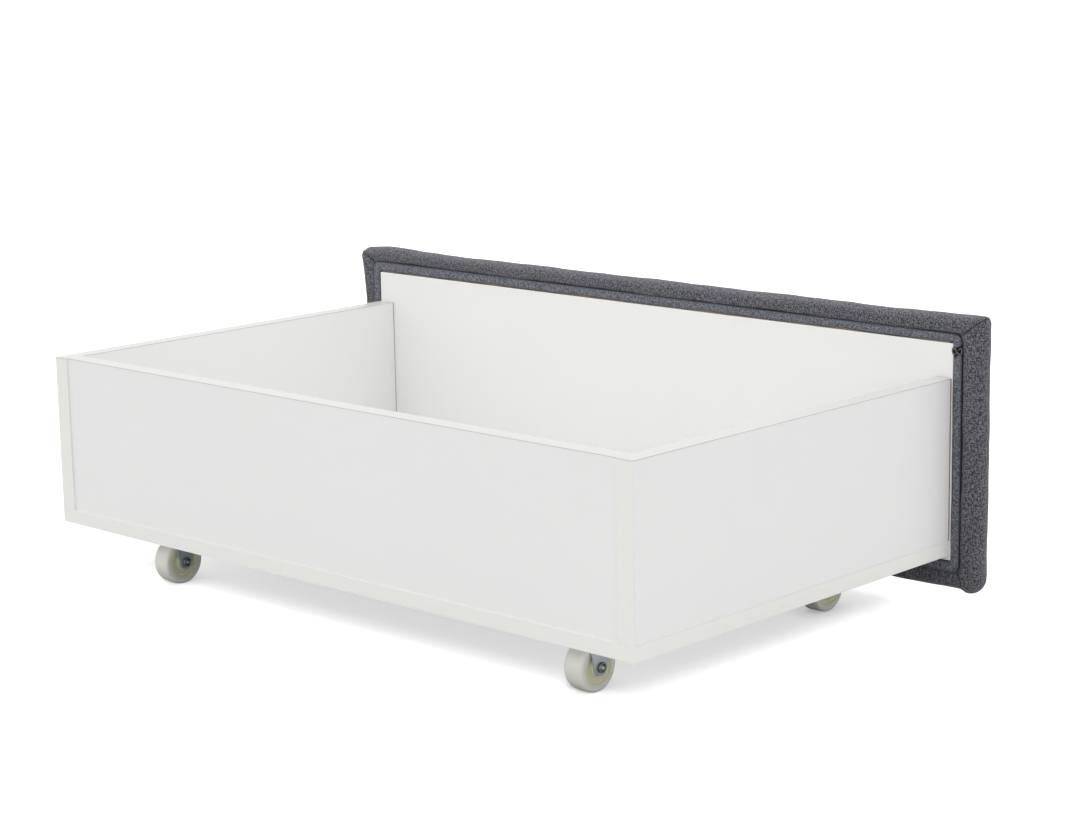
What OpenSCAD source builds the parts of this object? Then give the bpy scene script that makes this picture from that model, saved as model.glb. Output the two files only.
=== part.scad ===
// Under-bed storage drawer on four fixed casters, with an upholstered front.
// The front faces -Y, the open top faces +Z, and the casters roll along Y.
// Origin: on the floor, under the middle of the outside box.

/* [Box] */
// Outside width of the box over both side panels
box_w = 800; // [560:1:1100]
// Depth of the box behind the front panel
box_d = 470; // [320:1:640]
// Height of the walls above the bottom board
wall_h = 162; // [110:1:240]
// Thickness of the side and back boards
board_t = 19; // [15:0.5:25]
// Thickness of the bottom board
bottom_t = 15; // [12:0.5:22]
// How far the back board sits inside the rear ends of the sides
back_recess = 2; // [0:0.5:12]
// Thickness of the glued edging strips
edging_t = 0.8; // [0.4:0.1:2]

/* [Upholstered front] */
// How far the front runs past the box at each side
front_side = 34; // [30:1:80]
// How far the front runs above the walls
front_above = 61.5; // [61:0.5:110]
// Height of the lower edge of the front above the floor
front_z = 27; // [15:1:60]
// Thickness of the chipboard core
core_t = 15; // [12:0.5:22]
// Thickness of the white hardboard liner on the back of the core
liner_t = 3.2; // [2.5:0.1:6]
// Thickness of the foam on the front of the core
foam_t = 9.6; // [5:0.1:25]
// Thickness of the cover fabric
fabric_t = 1.2; // [0.8:0.1:2]
// Padding between the fabric and the edges of the core
edge_pad = 5.8; // [3:0.1:10]
// Rounding of the padded edges
pad_round = 8; // [5:0.5:8]
// How far the liner runs past the box at each side
liner_side = 2; // [0:0.5:3]
// How far the liner runs below the bottom board
liner_below = 5; // [1:0.5:10]
// How far the liner runs above the walls
liner_above = 34; // [10:1:34]
// Width of the welt strip around the liner
welt_w = 11; // [8:0.5:14]
// Gap between the liner and the welt strip
welt_gap = 1.2; // [0.5:0.1:3]

/* [Casters] */
// Overall height of a caster, floor to plate top
caster_h = 62.5; // [60:0.5:90]
// Diameter of a wheel
wheel_d = 48; // [40:1:60]
// Width of a wheel at the tread
wheel_w = 22; // [16:0.5:30]
// Diameter of the riveted axle
axle_d = 6; // [5:0.5:8]
// Radial clearance between the axle and the wheel bore
axle_play = 0.05; // [0.02:0.01:0.1]
// Thickness of the pressed steel of a fork
fork_t = 2; // [1.5:0.1:3]
// Gap between the wheel hub and each fork leg
hub_gap = 0.6; // [0.4:0.1:1.5]
// Distance from the outside of a side panel to the middle of a wheel
caster_side = 108; // [60:1:160]
// How far all four casters stand off centre, towards the right side
caster_shift = 5; // [-10:1:10]
// Distance from the rear face of the box to the rear axles
caster_back = 68; // [45:1:120]
// Distance from the front panel to the front axles
caster_front = 58; // [45:1:120]

/* [Fittings] */
// Diameter of the screws through the bottom board
box_screw_d = 5; // [4:0.5:6]
// Length of the screws through the bottom board
box_screw_l = 48; // [35:1:60]
// Diameter of the screws through the core of the front
front_screw_d = 4.5; // [3.5:0.5:6]
// Length of the screws through the core of the front
front_screw_l = 50; // [35:1:60]
// Diameter of the caster screws
caster_screw_d = 3.5; // [3:0.5:4.5]
// Board left above the tip of a caster screw
caster_screw_left = 2; // [1:0.5:4]
// Diameter of a cam lock
cam_d = 15; // [12:0.5:15]
// How far a cam lock reaches past the middle of the board
cam_past = 3; // [2:0.5:5]
// Distance from the end of the back board to the middle of a cam lock
cam_reach = 34; // [24:1:40]
// Diameter of a wooden dowel
dowel_d = 8; // [6:0.5:8]
// Length of a wooden dowel
dowel_l = 30; // [25:1:40]
// Clearance round every fixed screw, dowel and lock
fit_play = 0.05; // [0.03:0.01:0.1]

/* [Hidden] */
$fn = 48;

eps = 0.01;                                    // overshoot of a cutting tool
melamine = [0.91, 0.91, 0.91];
edging_tone = [0.89, 0.89, 0.86];
fabric_tone = [0.24, 0.25, 0.28];

// Levels and planes
floor_z = caster_h + bottom_t;                 // top of the bottom board
rim_z = floor_z + wall_h;                      // top of the walls
front_t = fabric_t + foam_t + core_t + liner_t;
face_y = (front_t - box_d) / 2;                // plane where the box meets the liner
rear_y = face_y + box_d;
back_y = rear_y - back_recess - board_t;       // inner face of the back board
side_x = box_w / 2;
inner_x = side_x - board_t;
core_back_y = face_y - liner_t;
core_front_y = core_back_y - core_t;
skin_y = face_y - front_t;                     // outer face of the cover

// Front panel
front_w = box_w + 2 * front_side;
front_h = rim_z + front_above - front_z;
flange_t = 0.8;                                // cover fabric pressed flat under the welt
roll_drop = 1;                                 // the padded roll lies this far in front of the liner face
staple_t = 0.6;
welt_t = liner_t - flange_t - staple_t - 0.2;
core_w = front_w - 2 * (fabric_t + edge_pad);
core_h = front_h - 2 * (fabric_t + edge_pad);
core_z = front_z + fabric_t + edge_pad;
liner_w = box_w + 2 * liner_side;
liner_z = caster_h - liner_below;
liner_h = rim_z + liner_above - liner_z;
liner_mid = liner_z + liner_h / 2;
staple_w = 10;
staple_leg = 8;
staple_pitch = 62;
staple_line = welt_gap + welt_w / 2;           // staples run under the middle of the welt

// Casters
wheel_r = wheel_d / 2;
axle_r = axle_d / 2;
wheel_edge = 7;                                // rounding from tread to face
hub_r = wheel_r * 0.36;
hub_w = wheel_w + 1;
leg_in = hub_w / 2 + hub_gap;                  // inner face of a fork leg
leg_out = leg_in + fork_t;
leg_tip = axle_r + 5;                          // radius of the leg round the axle
leg_top = leg_tip * 2.25;                      // half width of the leg under the plate
plate_x = 2 * leg_out + 28;
plate_y = 2 * leg_top + 8;
plate_round = 5;
plate_hole_x = leg_out + 7;
plate_hole_y = plate_y / 2 - 7;
head_r = axle_r + 2.25;
head_l = 2.6;
caster_screw_head = 2.2;
recess_half = 0.5;                             // half width of the cross in a screw head
recess_deep = 1.5;
caster_screw_l = bottom_t - caster_screw_left;
caster_x = side_x - caster_side;                // before the shift
caster_front_y = face_y + caster_front;
caster_rear_y = rear_y - caster_back;

// Screw and fitting positions
screw_end_gap = 60;                            // first screw from the end of a board
side_screw_y = [for (i = [0:3]) face_y + screw_end_gap + i * (box_d - 2 * screw_end_gap) / 3];
back_screw_x = [for (i = [-1.5:1:1.5]) i * (2 * (inner_x - cam_reach) - 2 * screw_end_gap) / 3];
board_mid_x = side_x - board_t / 2;
back_mid_y = back_y + board_t / 2;
front_wall_z = [floor_z + 35, rim_z - 35];
front_floor_x = [for (i = [-1:1]) i * (inner_x - 2 * screw_end_gap) * 0.9];
cam_z = [floor_z + 42, rim_z - 40];
dowel_z = (cam_z[0] + cam_z[1]) / 2;
dowel_in_side = board_t - 7;
cam_l = board_t / 2 + cam_past;
cam_bolt_thread = 11;
cam_bolt_r = 3;
cam_ball_r = 3.4;

// A block from its lowest corner to its highest corner
module block(lo, hi) {
    translate(lo) cube(hi - lo);
}

// The same shape at both ends of the X axis
module both_sides() {
    children();
    mirror([1, 0, 0]) children();
}

// A flat rectangle in the XZ plane with round corners, from y0 to y1, centred on x = 0
module round_plate_y(w, h, z_mid, r, y0, y1) {
    translate([0, y1, z_mid]) rotate([90, 0, 0]) linear_extrude(y1 - y0) round_rect(w, h, r);
}

module round_rect(w, h, r) {
    square([w - 2 * r, h], center = true);
    square([w, h - 2 * r], center = true);
    for (sx = [-1, 1], sy = [-1, 1])
        translate([sx * (w / 2 - r), sy * (h / 2 - r)]) circle(r);
}

// A block with every edge round, shrunk from the outside of the cover by inset
module padded_block(inset) {
    r = pad_round - inset;
    w = front_w - 2 * inset;
    t = front_t - roll_drop - 2 * inset;
    h = front_h - 2 * inset;
    y_mid = (skin_y + face_y - roll_drop) / 2;
    translate([0, y_mid, front_z + front_h / 2]) intersection() {
        rotate([90, 0, 0]) translate([0, 0, -t / 2]) linear_extrude(t) round_rect(w, h, r);
        rotate([90, 0, 90]) translate([0, 0, -w / 2]) linear_extrude(w) round_rect(t, h, r);
        translate([0, 0, -h / 2]) linear_extrude(h) round_rect(w, t, r);
    }
}

// The cross for a screwdriver, cut upwards into a screw head whose flat is at z = 0
module cross_recess(reach, deep) {
    block([-reach, -recess_half, -1], [reach, recess_half, deep]);
    block([-recess_half, -reach, -1], [recess_half, reach, deep]);
}

// A countersunk screw along +Z, the flat of its head at z = 0
module countersunk_screw(d, l, head) {
    difference() {
        cylinder(h = head - d / 2, r1 = head, r2 = d / 2);
        cross_recess(head * 0.55, recess_deep);
    }
    translate([0, 0, recess_deep]) cylinder(h = l - d - recess_deep, d = d);
    translate([0, 0, l - d]) cylinder(h = d, r1 = d / 2, r2 = 0.4);
}

// The hole for that screw, with its clearance
module countersunk_hole(d, l, head) {
    translate([0, 0, -fit_play]) cylinder(h = head - d / 2, r1 = head + 2 * fit_play, r2 = d / 2 + 2 * fit_play);
    translate([0, 0, -1]) cylinder(h = 1, r = head + 2 * fit_play);
    cylinder(h = l + 1, d = d + 2 * fit_play);
}

// Where the screws through the bottom board stand
module at_bottom_screws() {
    both_sides() for (y = side_screw_y) translate([board_mid_x, y, caster_h]) children();
    for (x = back_screw_x) translate([x, back_mid_y, caster_h]) children();
}

// Where the screws through the core of the front stand
module at_front_screws() {
    both_sides() for (z = front_wall_z)
        translate([board_mid_x, core_front_y, z]) rotate([-90, 0, 0]) children();
    for (x = front_floor_x)
        translate([x, core_front_y, caster_h + bottom_t / 2]) rotate([-90, 0, 0]) children();
}

// Where the axle of each caster stands
module at_casters() {
    for (sx = [-1, 1], y = [caster_front_y, caster_rear_y])
        translate([sx * caster_x + caster_shift, y, 0]) children();
}

// Where the four screws of one caster plate stand
module at_plate_holes() {
    for (sx = [-1, 1], sy = [-1, 1]) translate([sx * plate_hole_x, sy * plate_hole_y, 0]) children();
}

module bottom_screw_holes() {
    at_bottom_screws() countersunk_hole(box_screw_d, box_screw_l, box_screw_d);
}

module front_screw_holes() {
    at_front_screws() countersunk_hole(front_screw_d, front_screw_l, front_screw_d);
}

module bottom_panel() {
    color(melamine) difference() {
        block([-side_x + edging_t, face_y, caster_h], [side_x - edging_t, rear_y - edging_t, floor_z]);
        bottom_screw_holes();
        front_screw_holes();
        at_casters() at_plate_holes() translate([0, 0, caster_h - 1])
            cylinder(h = caster_screw_l + 1, d = caster_screw_d + 2 * fit_play);
    }
}

// One side panel at +X, raw at its front end, edged on top and at the rear
module side_board() {
    difference() {
        block([inner_x, face_y, floor_z], [side_x, rear_y - edging_t, rim_z - edging_t]);
        bottom_screw_holes();
        front_screw_holes();
        for (z = cam_z) translate([inner_x - 1, back_mid_y, z]) rotate([0, 90, 0])
            cylinder(h = cam_bolt_thread + 1.5, d = 5 + 2 * fit_play);
        translate([inner_x - 1, back_mid_y, dowel_z]) rotate([0, 90, 0])
            cylinder(h = dowel_in_side + 1.5, d = dowel_d + 2 * fit_play);
    }
}

module left_side_panel() {
    color(melamine) mirror([1, 0, 0]) side_board();
}

module right_side_panel() {
    color(melamine) side_board();
}

module back_panel() {
    color(melamine) difference() {
        block([-inner_x, back_y, floor_z], [inner_x, back_y + board_t, rim_z - edging_t]);
        bottom_screw_holes();
        both_sides() {
            for (z = cam_z) {
                translate([inner_x - cam_reach, back_mid_y, z]) rotate([0, 90, 0])
                    cylinder(h = cam_reach + 1, d = 2 * cam_ball_r + 0.6);
                translate([inner_x - cam_reach, back_y - 1, z]) rotate([-90, 0, 0])
                    cylinder(h = cam_l + 1.5, d = cam_d + 2 * fit_play);
            }
            translate([inner_x + 1, back_mid_y, dowel_z]) rotate([0, -90, 0])
                cylinder(h = dowel_l - dowel_in_side + 1.5, d = dowel_d + 2 * fit_play);
        }
    }
}

module bottom_rear_edging() {
    color(edging_tone) block([-side_x, rear_y - edging_t, caster_h], [side_x, rear_y, floor_z]);
}

// The strip along the end of the bottom board at +X
module bottom_end_edging() {
    block([side_x - edging_t, face_y, caster_h], [side_x, rear_y - edging_t, floor_z]);
}

module bottom_left_edging() {
    color(edging_tone) mirror([1, 0, 0]) bottom_end_edging();
}

module bottom_right_edging() {
    color(edging_tone) bottom_end_edging();
}

module side_top_strip() {
    block([inner_x, face_y, rim_z - edging_t], [side_x, rear_y, rim_z]);
}

module side_rear_strip() {
    block([inner_x, rear_y - edging_t, floor_z], [side_x, rear_y, rim_z - edging_t]);
}

module left_side_top_edging() {
    color(edging_tone) mirror([1, 0, 0]) side_top_strip();
}

module left_side_rear_edging() {
    color(edging_tone) mirror([1, 0, 0]) side_rear_strip();
}

module right_side_top_edging() {
    color(edging_tone) side_top_strip();
}

module right_side_rear_edging() {
    color(edging_tone) side_rear_strip();
}

module back_top_edging() {
    color(edging_tone) block([-inner_x, back_y, rim_z - edging_t], [inner_x, back_y + board_t, rim_z]);
}

module front_core() {
    color([0.72, 0.58, 0.40]) difference() {
        block([-core_w / 2, core_front_y, core_z], [core_w / 2, core_back_y, core_z + core_h]);
        front_screw_holes();
    }
}

module front_liner() {
    color(melamine) difference() {
        block([-liner_w / 2, core_back_y, liner_z], [liner_w / 2, face_y, liner_z + liner_h]);
        front_screw_holes();
    }
}

module front_foam() {
    color([0.93, 0.89, 0.70]) intersection() {
        padded_block(fabric_t);
        block([-front_w, skin_y, 0], [front_w, core_front_y, front_z + front_h]);
    }
}

// The rectangle that the welt and the liner take up on the back of the front
module welt_window(grow, y0, y1) {
    w = liner_w + 2 * (welt_gap + welt_w + grow);
    h = liner_h + 2 * (welt_gap + welt_w + grow);
    block([-w / 2, y0, liner_mid - h / 2], [w / 2, y1, liner_mid + h / 2]);
}

module edge_wadding() {
    color([0.95, 0.95, 0.95]) difference() {
        padded_block(fabric_t);
        block([-front_w, skin_y - 1, 0], [front_w, core_front_y, 2 * front_h]);
        block([-core_w / 2, core_front_y - 1, core_z], [core_w / 2, core_back_y, core_z + core_h]);
        welt_window(fabric_t, core_back_y - 1, face_y + 1);
    }
}

// The cover is a shell over the padding, turned in round the back of the core
// and stapled flat on it, in a flange under the welt
module front_cover() {
    turn_y = face_y - roll_drop - fabric_t / 2;
    color(fabric_tone) {
        difference() {
            padded_block(0);
            padded_block(fabric_t);
            welt_window(0, core_back_y, face_y + 1);
        }
        difference() {
            welt_window(fabric_t, core_back_y, turn_y);
            welt_window(0, core_back_y + flange_t, face_y);
            welt_window(-welt_w, core_back_y - 1, face_y);
        }
    }
}

// One staple in the XY plane, its crown on y = 0 and its legs along -Y
module staple() {
    block([-staple_w / 2, 0, -0.5], [staple_w / 2, staple_t, 0.5]);
    for (sx = [-1, 1]) translate([sx * (staple_w - staple_t) / 2, 0, 0])
        block([-staple_t / 2, -staple_leg, -0.5], [staple_t / 2, staple_t, 0.5]);
}

module cover_staples() {
    half_w = liner_w / 2 + staple_line;
    half_h = liner_h / 2 + staple_line;
    n_w = floor((half_w - 2 * staple_w) / staple_pitch);
    n_h = floor((half_h - 2 * staple_w) / staple_pitch);
    color([0.7, 0.7, 0.72]) for (s = [-1, 1]) {
        for (i = [-n_w:n_w])
            translate([i * staple_pitch, core_back_y + flange_t, liner_mid + s * half_h]) staple();
        for (i = [-n_h:n_h])
            translate([s * half_w, core_back_y + flange_t, liner_mid + i * staple_pitch])
                rotate([0, 90, 0]) staple();
    }
}

module welt_strip() {
    welt_y = core_back_y + flange_t + staple_t;
    color([0.34, 0.36, 0.41]) difference() {
        round_plate_y(liner_w + 2 * (welt_gap + welt_w) - 0.6, liner_h + 2 * (welt_gap + welt_w) - 0.6,
                      liner_mid, 6, welt_y, welt_y + welt_t);
        welt_window(-welt_w, welt_y - 1, face_y + 1);
        welt_end_space();
    }
}

// The gap in the welt at the upper left corner, where its two ends meet
module welt_end_space() {
    x = -liner_w / 2 - welt_gap - welt_w / 2;
    z = liner_z + liner_h - 7;
    block([x - 3.6, core_back_y + flange_t + staple_t - 1, z - 3.6], [x + 3.6, face_y + 1, z + 3.6]);
}

// The loop of the strip's plastic core that shows there
module welt_end_loop() {
    loop_r = 2.3;
    wire_r = 0.75;
    color([0.05, 0.05, 0.06])
        translate([-liner_w / 2 - welt_gap - welt_w / 2, core_back_y + flange_t + staple_t + wire_r,
                   liner_z + liner_h - 7])
            rotate([90, 0, 0]) rotate_extrude() translate([loop_r, 0]) circle(wire_r, $fn = 24);
}

module front_screws() {
    color([0.75, 0.75, 0.78]) at_front_screws()
        countersunk_screw(front_screw_d, front_screw_l, front_screw_d);
}

module bottom_screws() {
    color([0.75, 0.75, 0.78]) at_bottom_screws()
        countersunk_screw(box_screw_d, box_screw_l, box_screw_d);
}

// A cam lock along +Y from the inner face of the back, with a slot for a screwdriver
module cam_lock() {
    difference() {
        rotate([-90, 0, 0]) cylinder(h = cam_l, d = cam_d);
        translate([0, board_t / 2, 0]) rotate([0, 90, 0]) cylinder(h = cam_d, d = 2 * cam_ball_r + 0.6);
        translate([0, board_t / 2, 0]) sphere(cam_ball_r + 0.3);
        block([-4, -1, -0.8], [4, 1.8, 0.8]);
        block([-0.8, -1, -4], [0.8, 1.8, 4]);
    }
}

module cam_locks() {
    color([0.8, 0.8, 0.82]) both_sides() for (z = cam_z)
        translate([inner_x - cam_reach, back_y, z]) cam_lock();
}

module cam_bolts() {
    color([0.8, 0.8, 0.82]) both_sides() for (z = cam_z) translate([inner_x, back_mid_y, z])
        rotate([0, 90, 0]) {
            translate([0, 0, -cam_reach]) cylinder(h = 5, r = cam_ball_r);
            translate([0, 0, -cam_reach]) cylinder(h = cam_reach - 2, r = cam_bolt_r - 0.6);
            translate([0, 0, -2]) cylinder(h = 2, r = cam_bolt_r);
            translate([0, 0, -0.5]) cylinder(h = cam_bolt_thread + 0.5, d = 5);
        }
}

module back_dowels() {
    color([0.85, 0.72, 0.50]) both_sides()
        translate([inner_x - dowel_l + dowel_in_side, back_mid_y, dowel_z]) rotate([0, 90, 0])
            cylinder(h = dowel_l, d = dowel_d);
}

// Outline of a fork leg: a round tip about the axle, with straight sides up to the plate
module leg_outline(rise) {
    reach = sqrt(leg_top * leg_top + rise * rise);
    touch = atan2(rise, leg_top) - acos(leg_tip / reach);
    tx = leg_tip * cos(touch);
    ty = leg_tip * sin(touch);
    circle(leg_tip);
    polygon([[-tx, ty], [tx, ty], [leg_top, rise], [-leg_top, rise]]);
}

// Plate and two legs, with the wheel's axle along X at height wheel_r
module fork() {
    rise = caster_h - wheel_r - eps;
    difference() {
        union() {
            translate([0, 0, caster_h - fork_t]) linear_extrude(fork_t) round_rect(plate_x, plate_y, plate_round);
            for (x = [-leg_out, leg_in]) translate([x, 0, wheel_r]) rotate([90, 0, 90])
                linear_extrude(fork_t) leg_outline(rise);
        }
        translate([-leg_out - 1, 0, wheel_r]) rotate([0, 90, 0])
            cylinder(h = 2 * leg_out + 2, r = axle_r + fit_play);
        at_plate_holes() translate([0, 0, caster_h - fork_t - 1])
            cylinder(h = fork_t + 2, d = caster_screw_d + 0.8);
    }
}

// Axle riveted over at both ends, each head with a ring-shaped hollow
module axle() {
    half = leg_out + head_l;
    translate([0, 0, wheel_r]) rotate([0, 90, 0]) rotate_extrude()
        polygon([[0, -half + 0.4], [axle_r - 1.6, -half], [axle_r - 1.2, -half + 1.2], [head_r - 1.4, -half + 1.2],
                 [head_r - 1, -half], [head_r, -half + 0.8], [head_r, -leg_out], [axle_r, -leg_out],
                 [axle_r, leg_out], [head_r, leg_out], [head_r, half - 0.8], [head_r - 1, half],
                 [head_r - 1.4, half - 1.2], [axle_r - 1.2, half - 1.2], [axle_r - 1.6, half], [0, half - 0.4]]);
}

// Half of the wheel's section, r against x: round tread edge, dished face, raised hub
module wheel_section() {
    rim_r = wheel_r - wheel_edge;
    dish = 1.2;
    bore = axle_r + axle_play;
    difference() {
        union() {
            translate([bore, -wheel_w / 2]) square([rim_r - bore, wheel_w]);
            translate([bore, -wheel_w / 2 + wheel_edge]) square([wheel_r - bore, wheel_w - 2 * wheel_edge]);
            for (s = [-1, 1]) translate([rim_r, s * (wheel_w / 2 - wheel_edge)]) circle(wheel_edge);
            translate([bore, -hub_w / 2]) square([hub_r - bore, hub_w]);
        }
        for (s = [-1, 1]) {
            translate([hub_r, s * wheel_w / 2 - dish]) square([rim_r - hub_r - 1, 2 * dish]);
            translate([hub_r, s * wheel_w / 2 - 2 * dish]) square([(rim_r - hub_r) * 0.55, 4 * dish]);
        }
    }
}

module wheel() {
    translate([0, 0, wheel_r]) rotate([0, 90, 0]) rotate_extrude($fn = 96) wheel_section();
}

module fork_at(sx, y) {
    color([0.72, 0.75, 0.78]) translate([sx * caster_x + caster_shift, y, 0]) fork();
}

module axle_at(sx, y) {
    color([0.6, 0.6, 0.62]) translate([sx * caster_x + caster_shift, y, 0]) axle();
}

module wheel_at(sx, y) {
    color([0.86, 0.86, 0.80]) translate([sx * caster_x + caster_shift, y, 0]) wheel();
}

module caster_screws() {
    color([0.75, 0.75, 0.78]) at_casters() at_plate_holes() translate([0, 0, caster_h - fork_t]) {
        translate([0, 0, -caster_screw_head]) difference() {
            cylinder(h = caster_screw_head, r1 = caster_screw_d * 0.75, r2 = caster_screw_d);
            cross_recess(caster_screw_d * 0.45, recess_deep);
        }
        cylinder(h = fork_t + caster_screw_l - caster_screw_d, d = caster_screw_d);
        translate([0, 0, fork_t + caster_screw_l - caster_screw_d])
            cylinder(h = caster_screw_d - 0.5, r1 = caster_screw_d / 2, r2 = 0.4);
    }
}

bottom_panel();
left_side_panel();
right_side_panel();
back_panel();
bottom_rear_edging();
bottom_left_edging();
bottom_right_edging();
left_side_top_edging();
left_side_rear_edging();
right_side_top_edging();
right_side_rear_edging();
back_top_edging();
front_core();
front_liner();
front_foam();
edge_wadding();
front_cover();
cover_staples();
welt_strip();
welt_end_loop();
front_screws();
bottom_screws();
cam_locks();
cam_bolts();
back_dowels();
fork_at(-1, caster_front_y);  // front_left_fork
axle_at(-1, caster_front_y);  // front_left_axle
wheel_at(-1, caster_front_y);  // front_left_wheel
fork_at(1, caster_front_y);  // front_right_fork
axle_at(1, caster_front_y);  // front_right_axle
wheel_at(1, caster_front_y);  // front_right_wheel
fork_at(-1, caster_rear_y);  // rear_left_fork
axle_at(-1, caster_rear_y);  // rear_left_axle
wheel_at(-1, caster_rear_y);  // rear_left_wheel
fork_at(1, caster_rear_y);  // rear_right_fork
axle_at(1, caster_rear_y);  // rear_right_axle
wheel_at(1, caster_rear_y);  // rear_right_wheel
caster_screws();
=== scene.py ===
"""Looks of an under-bed storage drawer on four casters, with an upholstered front.

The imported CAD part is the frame: every piece below takes its place from the CAD
node that it stands for. All lengths are in metres. The front faces -Y.
"""
import math

import bpy
import numpy as np
from bpy.props import FloatProperty, FloatVectorProperty, PointerProperty
from mathutils import Matrix, Vector


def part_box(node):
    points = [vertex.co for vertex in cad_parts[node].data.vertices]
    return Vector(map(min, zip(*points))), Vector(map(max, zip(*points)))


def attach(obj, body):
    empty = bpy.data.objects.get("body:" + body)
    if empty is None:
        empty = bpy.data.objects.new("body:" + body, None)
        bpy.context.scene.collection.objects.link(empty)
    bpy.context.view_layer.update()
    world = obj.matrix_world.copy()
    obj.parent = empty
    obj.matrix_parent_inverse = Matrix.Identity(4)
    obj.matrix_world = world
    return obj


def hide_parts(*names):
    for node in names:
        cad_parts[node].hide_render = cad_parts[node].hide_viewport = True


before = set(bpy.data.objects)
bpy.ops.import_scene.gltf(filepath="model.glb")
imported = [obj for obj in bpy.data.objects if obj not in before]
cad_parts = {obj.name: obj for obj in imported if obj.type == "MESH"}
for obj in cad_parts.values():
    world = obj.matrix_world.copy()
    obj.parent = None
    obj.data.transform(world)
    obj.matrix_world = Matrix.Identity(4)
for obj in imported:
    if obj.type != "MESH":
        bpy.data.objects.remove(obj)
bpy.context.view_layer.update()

bl_info = {
    "name": "Under-bed drawer",
    "version": (1, 0, 0),
    "blender": (4, 5, 0),
    "location": "3D View > Sidebar > Drawer",
    "description": "Boards, upholstered front, casters and stage of an under-bed drawer",
    "category": "Object",
}

MM = 0.001
BODY = "drawer"
CORNERS = ("front_left", "front_right", "rear_left", "rear_right")
OUTLINE_ROW = 11  # the padded cover's loop that lies on its outline
TAIL_ROWS = 9  # its last loops, from the end of the rear roll into the groove
UNDER_COVER = 4.5 * MM  # how far the padding stays inside the cover


def node_box(name):
    """Lowest and highest corner of a CAD node, as two arrays."""
    low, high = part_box(name)
    return np.array(low), np.array(high)


# ---------------------------------------------------------------- settings


def colour(name, description, default):
    return FloatVectorProperty(name=name, description=description, default=default,
                               size=3, min=0, max=1, subtype="COLOR")


def length(name, description, default):
    return FloatProperty(name=name, description=description, default=default,
                         min=0, subtype="DISTANCE", unit="LENGTH", precision=5)


def angle(name, description, degrees):
    return FloatProperty(name=name, description=description, default=math.radians(degrees),
                         subtype="ANGLE", unit="ROTATION")


def place(name, description, default):
    return FloatVectorProperty(name=name, description=description, default=default, size=3,
                               subtype="TRANSLATION", unit="LENGTH")


def amount(name, description, default, **more):
    return FloatProperty(name=name, description=description, default=default, min=0, **more)


class DrawerBoards(bpy.types.PropertyGroup):
    """Boards, edging and the liner behind the front"""

    board_round: length("Board arris", "Rounding of a board's edges", 0.4 * MM)
    strip_round: length("Strip arris", "Rounding of an edging strip's edges", 0.28 * MM)
    liner_round: length("Liner arris", "Rounding of the liner's visible edges", 0.9 * MM)
    end_gap: length("End gap", "Gap between a side panel and the liner", 0.9 * MM)
    # Painted shade: on the near side panel the raw chipboard colour runs this far onto the face,
    # standing in for the shade in the gap at its end; the raw end itself is real.
    shaded_raw_reach: length("Raw reach", "How far a side panel's face is chipped back at its end",
                      1.6 * MM)
    far_gap: length("Far gap", "Gap between the right side panel and the liner", 0.25 * MM)
    liner_gap: length("Liner gap", "Gap at the liner's -X end", 1.4 * MM)
    white: colour("Board white", "Melamine face of the boards", (0.80, 0.80, 0.795))
    strip_white: colour("Edging white", "Edging strips", (0.80, 0.795, 0.765))
    # Painted shade: the rim's edging is the same white as the other strips, given darker here to
    # offset the light that falls on it from above.
    shaded_upper_white: colour("Upper edging white", "Edging strips on the rim", (0.57, 0.57, 0.55))
    liner_white: colour("Liner white", "Painted face of the liner", (0.825, 0.825, 0.815))
    # Chipboard's own colour, which the near side panel also shows on its face as painted shade of
    # the gap at its end.
    raw: colour("Raw board", "Cut edge of chipboard", (0.20, 0.125, 0.06))
    # Painted shade: near black, the liner's raw edge stands for the shade in the gaps round the
    # liner.
    liner_edge_shade: colour("Liner edge", "Cut edge of the liner", (0.014, 0.011, 0.009))


class DrawerFront(bpy.types.PropertyGroup):
    """The padded cover, its padding and the welt strip"""

    front_roll: length("Front edge", "How far the front edge of the padding rounds in", 20 * MM)
    rear_roll: length("Rear roll", "Radius of the padded roll at the rear", 11 * MM)
    corners: FloatVectorProperty(name="Corners", description="Rounding of the outline's corners, "
                                 "clockwise from the upper one at -X",
                                 default=(6 * MM, 10 * MM, 9 * MM, 14 * MM), size=4, unit="LENGTH")
    welt_corner: length("Welt corner", "Rounding of the welt's outer corners", 8.5 * MM)
    slide: length("Fold slide", "How far the fold of the lower -X corner runs under it", 15 * MM)
    fabric: length("Fabric", "Thickness of the cover", 1.2 * MM)
    pitch: length("Thread pitch", "Distance from thread to thread", 1.35 * MM)
    swell: length("Swell", "Most that stuffing moves the front face", 3 * MM)
    edge_swell: length("Edge swell", "Most that stuffing moves the rest of the cover", 0.5 * MM)
    crown: length("Crown", "Distance from the front's edge over which the swell grows", 60 * MM)
    pressure: amount("Stuffing pressure", "Pressure in the padding", 4)
    ear: length("Ear", "How far the upper +X corner flares out", 7.4 * MM)
    dark: colour("Dark yarn", "Darker yarn of the cover", (0.019, 0.019, 0.026))
    light: colour("Light yarn", "Lighter yarn of the cover", (0.173, 0.175, 0.198))
    welt_dark: colour("Welt dark yarn", "Darker yarn of the welt strip", (0.042, 0.045, 0.060))
    welt_light: colour("Welt light yarn", "Lighter yarn of the welt strip", (0.210, 0.218, 0.256))


class DrawerCasters(bpy.types.PropertyGroup):
    """Fixed casters under the bottom board"""

    steel_round: length("Sheet arris", "Rounding of the pressed steel's edges", 0.4 * MM)
    tip: length("Leg tip", "Radius of a leg round the axle", 8 * MM)
    leg_half: length("Leg width", "Half width of a leg under the plate", 18 * MM)
    sheet: length("Sheet", "Thickness of the pressed steel", 2 * MM)
    rivet_head: length("Rivet head", "How far an axle's head stands out from its leg", 2.6 * MM)
    nylon: colour("Nylon", "Wheels", (0.885, 0.885, 0.82))
    zinc: colour("Zinc", "Forks", (0.66, 0.76, 0.82))


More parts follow.
